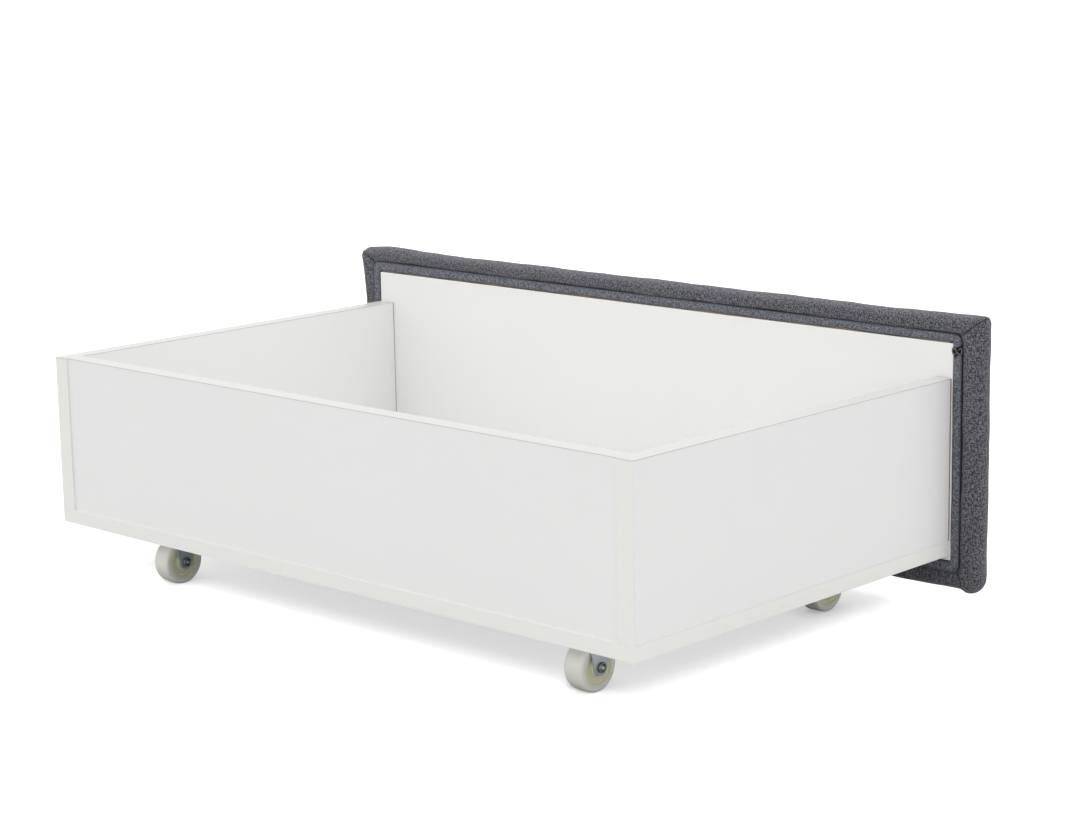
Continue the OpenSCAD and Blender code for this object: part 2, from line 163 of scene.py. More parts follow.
class DrawerStage(bpy.types.PropertyGroup):
    """Camera, floor and lights"""

    camera_place: place("Camera place", "Where the camera stands", (-1.77591, 1.82035, 0.70423))
    azimuth: angle("Azimuth", "Turn of the camera round the drawer", 223.1976)
    elevation: angle("Elevation", "Angle of the camera above level", 11.3615)
    roll: angle("Roll", "Tilt of the camera about its own line of sight", -0.9726)
    lens: FloatProperty(name="Lens", description="Focal length on a 36 mm sensor",
                        default=84.494, min=1, subtype="DISTANCE_CAMERA", unit="CAMERA")
    sky: amount("Sky", "Brightness of the white surroundings", 1.06)
    floor_glow: amount("Floor glow", "Brightness added to the floor in view", 0.585)
    floor_half: length("Floor", "Half of the floor's side", 30)
    floor_sun: amount("Floor sun", "Low light from behind that only the floor receives", 3.8)
    sun_width: angle("Sun width", "Angle that the floor sun fills", 13)
    sun_from: FloatVectorProperty(name="Sun from", description="Where the floor sun shines from",
                                  default=(-0.698, 0.716, 0.566), size=3, subtype="DIRECTION")
    lamp: amount("Overhead lamp", "Power of the soft lamp overhead", 36, subtype="POWER",
                 unit="POWER")
    lamp_place: place("Lamp place", "Where the overhead lamp hangs", (-0.2, 0.2, 3.0))
    lamp_size: length("Lamp size", "Side of the square overhead lamp", 3.0)


# ---------------------------------------------------------------- meshes


def grid_quads(rows, cols, wrap=False):
    """Quads of a grid stored row by row. With wrap, its last column joins its first."""
    row = np.arange(rows - 1)[:, None] * cols
    col = np.arange(cols if wrap else cols - 1)[None, :]
    after = (col + 1) % cols
    corners = [row + col, row + after, row + cols + after, row + cols + col]
    return np.stack(corners, axis=-1).reshape(-1, 4)


def signed_volume(points, quads):
    """Sum over the quads of their centre dotted with their area, over three."""
    a, b, c, d = (points[quads[:, k]] for k in range(4))
    area = np.cross(c - a, d - b) / 2
    return float(((a + b + c + d) / 4 * area).sum() / 3)


def build_piece(name, points, quads, finish, body=BODY, stands_for=(),
                normals=None, uv=None, marks=None, caps=()):
    """Makes one piece from a grid's points and quads, turned so that its faces point outwards."""
    points = np.asarray(points, float).reshape(-1, 3)
    middle = points.mean(axis=0)
    if signed_volume(points - middle, quads) < 0:
        quads = quads[:, ::-1]
        caps = [cap[::-1] for cap in caps]
        uv = None if uv is None else uv.reshape(-1, 4, 2)[:, ::-1]
    mesh = bpy.data.meshes.new(name)
    mesh.from_pydata(points.tolist(), [], quads.tolist() + [list(map(int, cap)) for cap in caps])
    mesh.shade_smooth()
    if uv is not None:
        bare = np.zeros(2 * sum(len(cap) for cap in caps))
        layer = mesh.uv_layers.new(name="cloth")
        layer.data.foreach_set("uv", np.concatenate([uv.ravel(), bare]))
    for mark, values in (marks or {}).items():
        attribute = mesh.attributes.new(mark, "FLOAT", "POINT")
        attribute.data.foreach_set("value", np.asarray(values, np.float32).ravel())
    mesh.materials.append(finish)
    if normals is not None:
        mesh.normals_split_custom_set_from_vertices(np.asarray(normals).reshape(-1, 3).tolist())
    piece = bpy.data.objects.new(name, mesh)
    bpy.context.collection.objects.link(piece)
    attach(piece, body)
    if stands_for:
        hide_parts(*stands_for)
    return piece


def rounded_rectangle(width, height, radius, steps=4):
    """Points and outward directions round a rectangle: four quarter circles joined by straights."""
    turn = np.linspace(0, math.pi / 2, steps + 1)
    points, outward = [], []
    for quarter, (sx, sy) in enumerate(((1, 1), (-1, 1), (-1, -1), (1, -1))):
        angle = turn + quarter * math.pi / 2
        way = np.stack([np.cos(angle), np.sin(angle)], axis=-1)
        centre = np.array([sx * (width / 2 - radius), sy * (height / 2 - radius)])
        points.append(centre + radius * way)
        outward.append(way)
    return np.concatenate(points), np.concatenate(outward)


def rounded_plate(outline, outward, low, high, radius, axis, middle=(), steps=4):
    """A flat outline carried along an axis from low to high, its two rims rounded.

    Each ring is the outline drawn in by radius*(1 - sin a) at a depth of
    radius*(1 - cos a) from its end, for a from 0 to 90 degrees at both ends.
    Returns points, normals, quads, the two caps, and each ring's depth from low.
    """
    angle = np.linspace(0, math.pi / 2, steps + 1)
    inset = radius * (1 - np.sin(angle)) * 0.98
    depth = radius * (1 - np.cos(angle))
    tilt = -np.cos(angle)
    extra = np.array(middle, float)
    level = np.concatenate([low + depth, extra, (high - depth)[::-1]])
    inset = np.concatenate([inset, 0 * extra, inset[::-1]])
    tilt = np.concatenate([tilt, 0 * extra, -tilt[::-1]])
    flat = outline[None] - inset[:, None, None] * outward[None]
    ring_points = np.empty(flat.shape[:2] + (3,))
    ring_normals = np.empty_like(ring_points)
    others = [k for k in range(3) if k != axis]
    spread = np.sqrt(np.clip(1 - tilt**2, 0, 1))
    ring_points[..., axis] = level[:, None]
    ring_points[..., others] = flat
    ring_normals[..., axis] = tilt[:, None]
    ring_normals[..., others] = spread[:, None, None] * outward[None]
    rows, cols = flat.shape[:2]
    quads = grid_quads(rows, cols, wrap=True)
    caps = [np.arange(cols)[::-1], np.arange(cols) + (rows - 1) * cols]
    return ring_points, ring_normals, quads, caps, level


def rounded_board(low, high, radius, axis, middle=()):
    """A board from its lowest to its highest corner, swept along one axis, every edge rounded."""
    others = [k for k in range(3) if k != axis]
    size = high - low
    outline, outward = rounded_rectangle(size[others[0]], size[others[1]], radius * 1.3)
    centre = (low + high)[others] / 2
    return rounded_plate(outline + centre, outward, low[axis], high[axis], radius, axis, middle)


def lathe(profile, centre, turns=72, closed=True):
    """A profile of (radius, x) pairs turned about a line along X through centre.

    A point at angle a is (x, radius*cos a, radius*sin a) from the centre. A closed
    profile makes a ring; an open one is closed by a flat cap at each end.
    """
    profile = np.asarray(profile, float)
    angle = np.linspace(0, 2 * math.pi, turns, endpoint=False)
    if closed:
        profile = np.concatenate([profile, profile[:1]])
    radius, along = profile[:, 0, None], profile[:, 1, None]
    points = np.stack([along + 0 * angle, radius * np.cos(angle), radius * np.sin(angle)], axis=-1)
    rows = len(profile)
    quads = grid_quads(rows, turns, wrap=True)
    caps = []
    if closed:
        points = points[:-1]
        quads = quads % ((rows - 1) * turns)
    else:
        caps = [np.arange(turns)[::-1], np.arange(turns) + (rows - 1) * turns]
    return points.reshape(-1, 3) + centre, quads, caps


def soft_profile(points, radii, steps=4):
    """A run of (radius, x) corners with each one rounded: the two straights that meet at a
    corner are cut back by its radius and joined by a quadratic curve."""
    points = np.asarray(points, float)
    before, after = np.roll(points, 1, axis=0), np.roll(points, -1, axis=0)
    t = np.linspace(0, 1, steps + 1)[None, :, None]

    def pull(other):
        way = other - points
        size = np.linalg.norm(way, axis=1)
        return points + way * (np.minimum(radii, size * 0.45) / size)[:, None]

    start, end = pull(before)[:, None], pull(after)[:, None]
    curve = (1 - t) ** 2 * start + 2 * t * (1 - t) * points[:, None] + t**2 * end
    return curve.reshape(-1, 2)


def join_shells(shells):
    """Several (points, normals, quads, caps) put into one mesh, one after another."""
    points, normals, quads, caps, base = [], [], [], [], 0
    for shell_points, shell_normals, shell_quads, shell_caps in shells:
        flat = shell_points.reshape(-1, 3)
        if signed_volume(flat - flat.mean(axis=0), shell_quads) < 0:
            shell_quads = shell_quads[:, ::-1]
            shell_caps = [cap[::-1] for cap in shell_caps]
        points.append(flat)
        normals.append(shell_normals.reshape(-1, 3))
        quads.append(shell_quads + base)
        caps += [cap + base for cap in shell_caps]
        base += len(flat)
    return np.concatenate(points), np.concatenate(normals), np.concatenate(quads), caps


# ---------------------------------------------------------------- loops round the front


SLIDE_WIDTH = 34 * MM
SIDES = (((-1, 1), (1, 0), (0, 1)), ((1, 1), (0, -1), (1, 0)),
         ((1, -1), (-1, 0), (0, -1)), ((-1, -1), (0, 1), (-1, 0)))


def crowded(count, ends=0.72):
    """Fractions from 0 to 1, closer together near both ends: u - k*sin(2 pi u)/(2 pi)."""
    u = np.linspace(0, 1, count + 1)
    return u - ends * np.sin(2 * math.pi * u) / (2 * math.pi)


ACROSS, UP = crowded(150), crowded(44)


def distance_along(points):
    """Distance of each point of a line from its first one, measured along the line."""
    return np.concatenate([[0], np.cumsum(np.linalg.norm(np.diff(points, axis=0), axis=1))])


def front_loops(x_half, z_low, z_high, radius, slide=0.0):
    """Rounded rectangles in the XZ plane, one for each entry of the first four arrays.

    Seen from the front, each runs clockwise from the middle of its upper left
    corner: along the top, down the right, back along the bottom and up the left. A
    side is a straight between two eighths of a circle, walked by the same fractions
    on every loop, so loops of different sizes make a grid. radius has a column for
    each corner, in that order. The columns near the last corner are moved back along
    the loop by slide*exp(-(d/SLIDE_WIDTH)^2), d being their distance from it. Returns
    points and outward directions as (loop, column, 2), the distance of each column
    from its nearest corner, and the side that each column belongs to.
    """
    radius = np.maximum(np.broadcast_to(radius, (len(x_half), 4)), 1e-5)
    after = np.roll(radius, -1, axis=1)
    span = np.stack([2 * x_half, z_high - z_low, 2 * x_half, z_high - z_low], axis=1)
    path = span + (radius + after) * (math.pi / 4 - 1)
    start = np.cumsum(path, axis=1) - path
    fractions = [(UP if side % 2 else ACROSS)[None, :-1] for side in range(4)]
    walked = [fractions[side] * path[:, side, None] for side in range(4)]
    reach = np.concatenate([np.minimum(w, path[:, side, None] - w)
                            for side, w in enumerate(walked)], axis=1)
    owner = np.concatenate([np.full(f.shape[1], side) for side, f in enumerate(fractions)])
    place = np.concatenate([w + start[:, side, None] for side, w in enumerate(walked)], axis=1)
    moved = np.where(owner >= 2, np.exp(-(((place - start[:, 3:]) / SLIDE_WIDTH) ** 2)), 0)
    place = place - np.reshape(slide, (-1, 1)) * moved
    side = (place[..., None] >= start[:, None, 1:]).sum(axis=-1)

    def pick(table):
        return np.take_along_axis(table, side, axis=1)

    local, whole = place - pick(start), pick(path)
    flip = local > whole / 2
    near = np.where(flip, whole - local, local)
    bow = np.where(flip, pick(after), pick(radius))
    bend = np.clip(math.pi / 4 - near / bow, 0, math.pi / 4)
    on_arc = bend > 0
    a = np.where(on_arc, bow * (1 - np.sin(bend)), bow + near - bow * math.pi / 4)
    n = np.where(on_arc, bow * (np.cos(bend) - 1), 0)
    a = np.where(flip, pick(span) - a, a)
    tilt = np.where(flip, np.sin(bend), -np.sin(bend))
    corner, along, out = (np.array(table, float) for table in zip(*SIDES))
    first = np.stack([corner[:, 0] * x_half[:, None],
                      np.where(corner[:, 1] > 0, z_high[:, None], z_low[:, None])], axis=-1)
    first = np.take_along_axis(first, side[..., None], axis=1)
    points = first + a[..., None] * along[side] + n[..., None] * out[side]
    outward = tilt[..., None] * along[side] + np.cos(bend)[..., None] * out[side]
    return points, outward, reach, owner


def groove_field(x, z):
    """How the hand-set groove strays: 1 along the -X side, where it lies further in, and the
    drop along the top, which grows towards that side."""
    welt_low, welt_high = node_box("welt_strip")
    along_side = ease(-x, -welt_low[0] - 30 * MM, -welt_low[0] - 12 * MM)
    along_top = ease(z, welt_high[2] - 26 * MM, welt_high[2] - 12 * MM)
    towards = np.clip((welt_high[0] - x) / (welt_high[0] - welt_low[0]), 0, 1)
    return along_side, -2.6 * MM * towards * along_top


def margins():
    """Distance from the cover's outline to the outer edge of the welt: sides, top and bottom."""
    cover_low, cover_high = node_box("front_cover")
    welt_low, welt_high = node_box("welt_strip")
    return cover_high[0] - welt_high[0], cover_high[2] - welt_high[2], welt_low[2] - cover_low[2]


def inset_loops(inset, scaled, radius, slide=0.0):
    """Loops drawn in from the cover's outline by the insets given. Where scaled is 1 an inset
    stands for the sides and is taken in proportion on the top and bottom, so that the loops
    end on the edge of the welt all the way round."""
    low, high = node_box("front_cover")
    side, top, bottom = margins()
    top_ratio = 1 + scaled * (top / side - 1)
    bottom_ratio = 1 + scaled * (bottom / side - 1)
    return front_loops(high[0] - inset, low[2] + inset * bottom_ratio,
                       high[2] - inset * top_ratio, radius, slide)


def cover_profile(props, drawn_in=0.0):
    """The padding's section from the flat front round the edge to the groove at the welt.

    Front edge: a quarter ellipse, front_roll wide and the rest of the thickness deep. Rear
    roll: a quarter circle. Then a margin that falls gently and dips into the groove. Returns
    the inset from the outline, y, and 1 where the inset scales with the margin.
    """
    low, high = node_box("front_cover")
    side = margins()[0]
    roll = props.rear_roll - drawn_in
    front = props.front_roll - drawn_in
    y_front, y_rear = low[1] + drawn_in, high[1] - drawn_in
    y_mid = high[1] - props.rear_roll
    turn = np.linspace(0, math.pi / 2, OUTLINE_ROW - 1)
    inset = np.concatenate([[front + 4 * MM, front + 2 * MM], front * (1 - np.sin(turn))])
    y = np.concatenate([[y_front, y_front], y_mid - (y_mid - y_front) * np.cos(turn)])
    turn = turn[1:]
    rear_inset, rear_y = roll * (1 - np.cos(turn)), y_mid + (y_rear - y_mid) * np.sin(turn)
    tail = np.array([[0.66, -0.10], [0.78, -0.28], [0.88, -0.62], [0.945, -1.15], [0.985, -1.7],
                     [1.015, -1.85], [1.06, -1.5], [1.15, -1.25], [1.54, -1.2]])
    rear_inset = np.concatenate([rear_inset, side * tail[:, 0] - drawn_in * 0.5])
    rear_y = np.concatenate([rear_y, y_rear + tail[:, 1] * MM])
    scaled = np.concatenate([0 * inset, 0 * rear_inset + 1])
    return (np.concatenate([inset, rear_inset]) + drawn_in, np.concatenate([y, rear_y]), scaled)


def bump_at(distance, centre, width):
    """A smooth hump: exp(-((distance - centre)/width)^2)."""
    return np.exp(-(((distance - centre) / width) ** 2))


def ease(value, start, end):
    """0 before start, 1 after end, and a smooth step 3t^2 - 2t^3 between."""
    t = np.clip((value - start) / (end - start), 0, 1)
    return t * t * (3 - 2 * t)


def ripple(position, waves, seed):
    """A sum of sine waves with seeded phases and the lengths and heights given in waves."""
    phases = np.random.default_rng(seed).uniform(0, 2 * math.pi, len(waves))
    return sum(h * np.sin(2 * math.pi * position / w + p) for (w, h), p in zip(waves, phases))


# ---------------------------------------------------------------- shader nodes


def put(tree, kind, settings=None, **inputs):
    """Adds a node, sets it, and fills its inputs with values or links. k3 names input 3."""
    made = tree.nodes.new(kind)
    for key, value in (settings or {}).items():
        setattr(made, key, value)
    for key, value in inputs.items():
        by_place = key[0] == "k" and key[1:].isdigit()
        socket = made.inputs[int(key[1:]) if by_place else key.replace("_", " ")]
        if isinstance(value, bpy.types.NodeSocket):
            tree.links.new(value, socket)
        else:
            socket.default_value = value
    return made


def calc(tree, operation, *values, clamp=False):
    made = put(tree, "ShaderNodeMath", {"operation": operation, "use_clamp": clamp},
               **{f"k{k}": v for k, v in enumerate(values)})
    return made.outputs[0]


def about_half(tree, value, gain, base, clamp=False):
    """What a value has above one half, times gain, added to base."""
    return calc(tree, "MULTIPLY_ADD", calc(tree, "SUBTRACT", value, 0.5), gain, base, clamp=clamp)


def mix_colour(tree, factor, first, second):
    def full(value):
        return value if isinstance(value, bpy.types.NodeSocket) else (*value[:3], 1)

    made = put(tree, "ShaderNodeMix", {"data_type": "RGBA"}, k0=factor, k6=full(first),
               k7=full(second))
    return made.outputs[2]


def spread(tree, value, low, high):
    """A value from 0 to 1 stretched to run from low to high."""
    return put(tree, "ShaderNodeMapRange", None, Value=value, To_Min=low, To_Max=high).outputs[0]


def new_group(name, inputs, outputs):
    """An empty node group with float sockets, and its first input a vector."""
    group = bpy.data.node_groups.new(name, "ShaderNodeTree")
    group.interface.new_socket("Vector", in_out="INPUT", socket_type="NodeSocketVector")
    for key, value in inputs.items():
        socket = group.interface.new_socket(key, in_out="INPUT", socket_type="NodeSocketFloat")
        socket.default_value = value
    for key in outputs:
        group.interface.new_socket(key, in_out="OUTPUT", socket_type="NodeSocketFloat")
    return group, group.nodes.new("NodeGroupInput"), group.nodes.new("NodeGroupOutput")


def group_once(name, make):
    return bpy.data.node_groups.get(name) or make(name)


def weave_group(name):
    """Plain weave of slubby yarn: threads cross over and under by a checker of one thread, each
    is rounded by a half sine, and every thread has its own shade with streaks along it."""
    tree, entry, leave = new_group(name, {"Pitch": 1.35 * MM}, ("Tone", "Height"))
    cloth, pitch = entry.outputs[0], entry.outputs[1]

    def noise(place, scale, detail, **more):
        return put(tree, "ShaderNodeTexNoise", None, Vector=place, Scale=scale, Detail=detail,
                   **more)

    def vector(operation, *values):
        return put(tree, "ShaderNodeVectorMath", {"operation": operation},
                   **{f"k{k}": v for k, v in enumerate(values)}).outputs[0]

    wander = (1.1 * MM, 1.1 * MM, 0)
    offset = vector("MULTIPLY_ADD", noise(cloth, 55.0, 1.0).outputs["Color"], wander, cloth)
    threads = put(tree, "ShaderNodeVectorMath", {"operation": "SCALE"}, k0=offset,
                  Scale=calc(tree, "DIVIDE", 1.0, pitch)).outputs[0]
    split = put(tree, "ShaderNodeSeparateXYZ", None, k0=threads)
    round_x, round_y = (
        calc(tree, "ABSOLUTE", calc(tree, "SINE", calc(tree, "MULTIPLY", way, math.pi)))
        for way in split.outputs[:2])
    over = put(tree, "ShaderNodeTexChecker", None, Vector=threads, Scale=1.0,
               Color1=(1, 1, 1, 1), Color2=(0, 0, 0, 1)).outputs["Fac"]

    def yarn(main, cross, stretch, seed, gain):
        """Height of one set of threads, and its streaky shade about zero."""
        top = calc(tree, "MULTIPLY", main, calc(tree, "MULTIPLY_ADD", cross, 0.45, 0.55))
        place = vector("ADD", vector("MULTIPLY", threads, stretch), seed)
        return top, about_half(tree, noise(place, 1.0, 2.0, Roughness=0.65).outputs[0], gain, 0.0)

    warp, warp_shade = yarn(round_x, round_y, (1.0, 0.30, 0), (3.7, 1.3, 0), 12.0)
    weft, weft_shade = yarn(round_y, round_x, (0.40, 1.0, 0), (9.1, 5.9, 0), 8.0)
    height = put(tree, "ShaderNodeMix", None, k0=over, k2=weft, k3=warp).outputs[0]
    streaks = put(tree, "ShaderNodeMix", None, k0=over, k2=weft_shade, k3=warp_shade).outputs[0]
    fuzz, heather = noise(cloth, 1900.0, 2.0).outputs[0], noise(cloth, 640.0, 1.0).outputs[0]
    tone = about_half(tree, heather, 1.5, calc(tree, "ADD", streaks, 0.45))
    tone = about_half(tree, fuzz, 0.9, tone)
    deep = calc(tree, "MULTIPLY_ADD", height, 0.5, 0.62)
    tree.links.new(calc(tree, "MULTIPLY", tone, deep, clamp=True), leave.inputs[0])
    tree.links.new(calc(tree, "MULTIPLY_ADD", fuzz, 0.25, height), leave.inputs[1])
    return tree


def grain_group(name):
    """Fine mottling: broad and fine noise added, with its height."""
    group, entry, leave = new_group(name, {"Broad": 9.0, "Fine": 900.0}, ("Mask", "Height"))
    broad = put(group, "ShaderNodeTexNoise", None, Vector=entry.outputs[0],
                Scale=entry.outputs[1], Detail=3.0)
    fine = put(group, "ShaderNodeTexNoise", None, Vector=entry.outputs[0],
               Scale=entry.outputs[2], Detail=2.0)
    mask = calc(group, "MULTIPLY_ADD", fine.outputs[0], 0.35,
                calc(group, "MULTIPLY", broad.outputs[0], 0.65))
    group.links.new(mask, leave.inputs[0])
    group.links.new(fine.outputs[0], leave.inputs[1])
    return group


def scuff_group(name):
    """Thin scratches and rubbed spots: stretched noise cut to its peaks."""
    group, entry, leave = new_group(name, {"Size": 120.0, "Amount": 0.5}, ("Mask",))
    place = put(group, "ShaderNodeVectorMath", {"operation": "MULTIPLY"}, k0=entry.outputs[0],
                k1=(1.0, 0.35, 1.0))
    lines = put(group, "ShaderNodeTexNoise", None, Vector=place.outputs[0], Scale=entry.outputs[1],
                Detail=4.0, Roughness=0.7, Distortion=0.6)
    edge = calc(group, "SUBTRACT", 0.78, calc(group, "MULTIPLY", entry.outputs[2], 0.25))
    peak = calc(group, "DIVIDE", calc(group, "SUBTRACT", lines.outputs[0], edge), 0.12, clamp=True)
    group.links.new(peak, leave.inputs[0])
    return group


def use_group(tree, name, make, vector, **values):
    made = tree.nodes.new("ShaderNodeGroup")
    made.node_tree = group_once(name, make)
    tree.links.new(vector, made.inputs[0])
    for key, value in values.items():
        made.inputs[key].default_value = value
    return made


def new_material(name, **constants):
    """A material with its Principled shader's plain values set on their own sockets."""
    material = bpy.data.materials.new(f"{name} finish")
    material.use_nodes = True
    tree = material.node_tree
    shader = next(n for n in tree.nodes if n.type == "BSDF_PRINCIPLED")
    for key, value in constants.items():
        shader.inputs[key.replace("_", " ")].default_value = value
    return material, tree, shader


def bump(tree, shader, height, strength, distance):
    made = put(tree, "ShaderNodeBump", None, Height=height, Strength=strength, Distance=distance)
    tree.links.new(made.outputs[0], shader.inputs["Normal"])


def made_once(make):
    """Gives back the finish of that name where there is one already."""
    def wrapped(name, *values, **settings):
        return bpy.data.materials.get(f"{name} finish") or make(name, *values, **settings)

    return wrapped


@made_once
def plain_finish(name, base, other, rough, broad=9.0, fine=900.0, lift=(0.05, 0.05 * MM),
                 scuffs=None, shade_factor=None, **constants):
    """A finish whose colour runs between two shades, with fine relief and, where given, scuffs
    of (size, amount, colour) and shade_factor on the colour where the mark is 1, for painted shade."""
    material, tree, shader = new_material(name, **constants)
    where = tree.nodes.new("ShaderNodeTexCoord").outputs["Object"]
    grain = use_group(tree, "fine grain", grain_group, where, Broad=broad, Fine=fine)
    tint = mix_colour(tree, grain.outputs[0], base, other)
    roughness = spread(tree, grain.outputs[0], rough[0], rough[1])
    if scuffs:
        marks = use_group(tree, "scuffs", scuff_group, where, Size=scuffs[0], Amount=scuffs[1])
        tint = mix_colour(tree, marks.outputs[0], tint, scuffs[2])
        roughness = calc(tree, "MULTIPLY_ADD", marks.outputs[0], 0.15, roughness)
    # Painted shade: the colour is multiplied by shade_factor where the mark is 1.
    if shade_factor:
        mark = put(tree, "ShaderNodeAttribute", {"attribute_name": "mark"}).outputs["Fac"]
        darker = put(tree, "ShaderNodeMix", {"data_type": "RGBA", "blend_type": "MULTIPLY"},
                     k0=mark, k6=tint, k7=(*shade_factor, 1))
        tint = darker.outputs[2]
    tree.links.new(tint, shader.inputs["Base Color"])
    tree.links.new(roughness, shader.inputs["Roughness"])
    bump(tree, shader, grain.outputs[1], *lift)
    return material


def shade(rgb, factor):
    return tuple(min(1.0, c * factor) for c in rgb)


@made_once
def board_finish(name, white, raw):
    """White face with raw chips where the mark raw_and_shaded_end is 1, at a board's cut ends. The
    chip colour there is also painted shade of the gap beside that end: near black on the liner, and
    run onto the face of the near side panel.
    """
    material, tree, shader = new_material(name)
    where = tree.nodes.new("ShaderNodeTexCoord").outputs["Object"]
    grain = use_group(tree, "fine grain", grain_group, where, Broad=7.0, Fine=1400.0)
    face = mix_colour(tree, grain.outputs[0], shade(white, 0.985), shade(white, 1.015))
    chips = put(tree, "ShaderNodeTexVoronoi", None, Vector=where, Scale=420.0)
    core_and_shade = mix_colour(tree, chips.outputs["Distance"], shade(raw, 0.75), shade(raw, 1.9))
    end = put(tree, "ShaderNodeAttribute", {"attribute_name": "raw_and_shaded_end"}).outputs["Fac"]
    # 1 where the chip colour shows: the raw end, and the painted shade of the gap beside it.
    cut_and_shade = calc(tree, "MULTIPLY", calc(tree, "SUBTRACT", end, 0.35), 4.0, clamp=True)
    tree.links.new(mix_colour(tree, cut_and_shade, face, core_and_shade), shader.inputs["Base Color"])
    rough = calc(tree, "MULTIPLY_ADD", cut_and_shade, 0.45, spread(tree, grain.outputs[0], 0.34, 0.42))
    tree.links.new(rough, shader.inputs["Roughness"])
    relief = calc(tree, "MULTIPLY_ADD", calc(tree, "MULTIPLY", cut_and_shade, chips.outputs["Distance"]), 6.0,
                  grain.outputs[1])
    bump(tree, shader, relief, 0.08, 0.04 * MM)
    return material


@made_once
def fabric_finish(name, dark, light, pitch):
    """Woven cloth on the piece's own map, with painted shade where the mark crease_shade is 1."""
    material, tree, shader = new_material(name, Sheen_Weight=0.18, Sheen_Roughness=0.6,
                                          Specular_IOR_Level=0.25)
    where = put(tree, "ShaderNodeUVMap", {"uv_map": "cloth"}).outputs[0]
    weave = use_group(tree, "plain weave", weave_group, where, Pitch=pitch)
    cloud = put(tree, "ShaderNodeTexNoise", None, Vector=where, Scale=38.0, Detail=2.0)
    tone = about_half(tree, cloud.outputs[0], 0.2, weave.outputs[0], clamp=True)
    tint = mix_colour(tree, tone, dark, light)
    crease_shade = put(tree, "ShaderNodeAttribute", {"attribute_name": "crease_shade"}).outputs["Fac"]
    # Painted shade in grooves and folds: the cloth runs to a darker copy of its dark yarn.
    tint = mix_colour(tree, crease_shade, tint, shade(dark, 0.3))
    tree.links.new(tint, shader.inputs["Base Color"])
    tree.links.new(spread(tree, weave.outputs[1], 0.95, 0.8), shader.inputs["Roughness"])
    bump(tree, shader, weave.outputs[1], 0.55, 0.35 * MM)
    return material


# ---------------------------------------------------------------- pieces


class DRAWER_OT_boards(bpy.types.Operator):
    """Side panels with rounded arrises, and the finish of the bottom and back boards"""

    bl_idname = "drawer.boards"
    bl_label = "Boards"

    def execute(self, context):
        props = context.scene.drawer_boards
        finish = board_finish("white_board", props.white, props.raw)
        for name in ("left_side_panel", "right_side_panel"):
            low, high = node_box(name)
            near = name.startswith("left")
            low[1] += props.end_gap if near else props.far_gap
            # Raw chips up to bare: the real raw end, and on the near panel a strip of face too, as
            # painted shade of the gap at its end.
            bare = low[1] + (props.shaded_raw_reach if near else 0.1 * MM)
            points, normals, quads, caps, level = rounded_board(
                low, high, props.board_round, 1, middle=[bare, bare + 0.3 * MM])
            raw = np.repeat((level < bare + 0.1 * MM)[:, None], points.shape[1], axis=1)
            build_piece(f"{name}_board", points, quads, finish, stands_for=[name],
                        normals=normals, marks={"raw_and_shaded_end": raw}, caps=caps)
        for name in ("bottom_panel", "back_panel"):
            refinish(name, finish)
        return {"FINISHED"}


def refinish(name, finish):
    """Gives a CAD node that stays in view its finish."""
    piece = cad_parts[name]
    for place in piece.material_slots:
        place.material = finish


class DRAWER_OT_edging(bpy.types.Operator):
    """Edging strips glued to the visible edges of the boards"""

    bl_idname = "drawer.edging"
    bl_label = "Edging"

    def execute(self, context):
        props = context.scene.drawer_boards
        # The rim's edging takes the darker copy of the edging white, as painted shade against the
        # light from above.
        finishes = [plain_finish(name, shade(white, 0.99), shade(white, 1.01), (0.30, 0.40),
                                 broad=5.0, fine=700.0, lift=(0.06, 0.05 * MM))
                    for name, white in (("edge_strip", props.strip_white),
                                        ("upper_strip", props.shaded_upper_white))]
        for name in sorted(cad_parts):
            if not name.endswith("_edging"):
                continue
            low, high = node_box(name)
            axis = int(np.argmax(high - low))
            if name.startswith("left_side_top"):
                low[1] += props.end_gap
            points, normals, quads, caps, _ = rounded_board(low, high, props.strip_round, axis)
            build_piece(f"{name}_strip", points, quads, finishes["_top_" in name],
                        stands_for=[name], normals=normals, caps=caps)
        return {"FINISHED"}


class DRAWER_OT_liner(bpy.types.Operator):
    """White hardboard liner behind the front, its edge raw all round apart from the -X end; that
    raw edge is near black, painted shade of the gaps round it
    """

    bl_idname = "drawer.liner"
    bl_label = "Liner"

    def execute(self, context):
        props = context.scene.drawer_boards
        low, high = node_box("front_liner")
        low[0] += props.liner_gap
        finish = board_finish("white_hardboard", props.liner_white, props.liner_edge_shade)
        points, normals, quads, caps, level = rounded_board(
            low, high, props.liner_round, 1, middle=[high[1] - 1.5 * MM])
        # Painted shade: the near-black raw edge on the top, bottom and +X side, where the gaps
        # round the liner lie; the -X edge stays white.
        raw = (high[1] - level > 1.3 * MM)[:, None] & (points[..., 0] > low[0] + 2 * MM)
        build_piece("front_liner_board", points, quads, finish, stands_for=["front_liner"],
                    normals=normals, marks={"raw_and_shaded_end": raw}, caps=caps)
        return {"FINISHED"}


CLOTH = {"quality": 6, "mass": 0.3, "tension_stiffness": 25, "compression_stiffness": 25,
         "shear_stiffness": 12, "bending_stiffness": 2, "vertex_group_mass": "held",
         "use_pressure": True}
CLOTH_FRAMES = 20


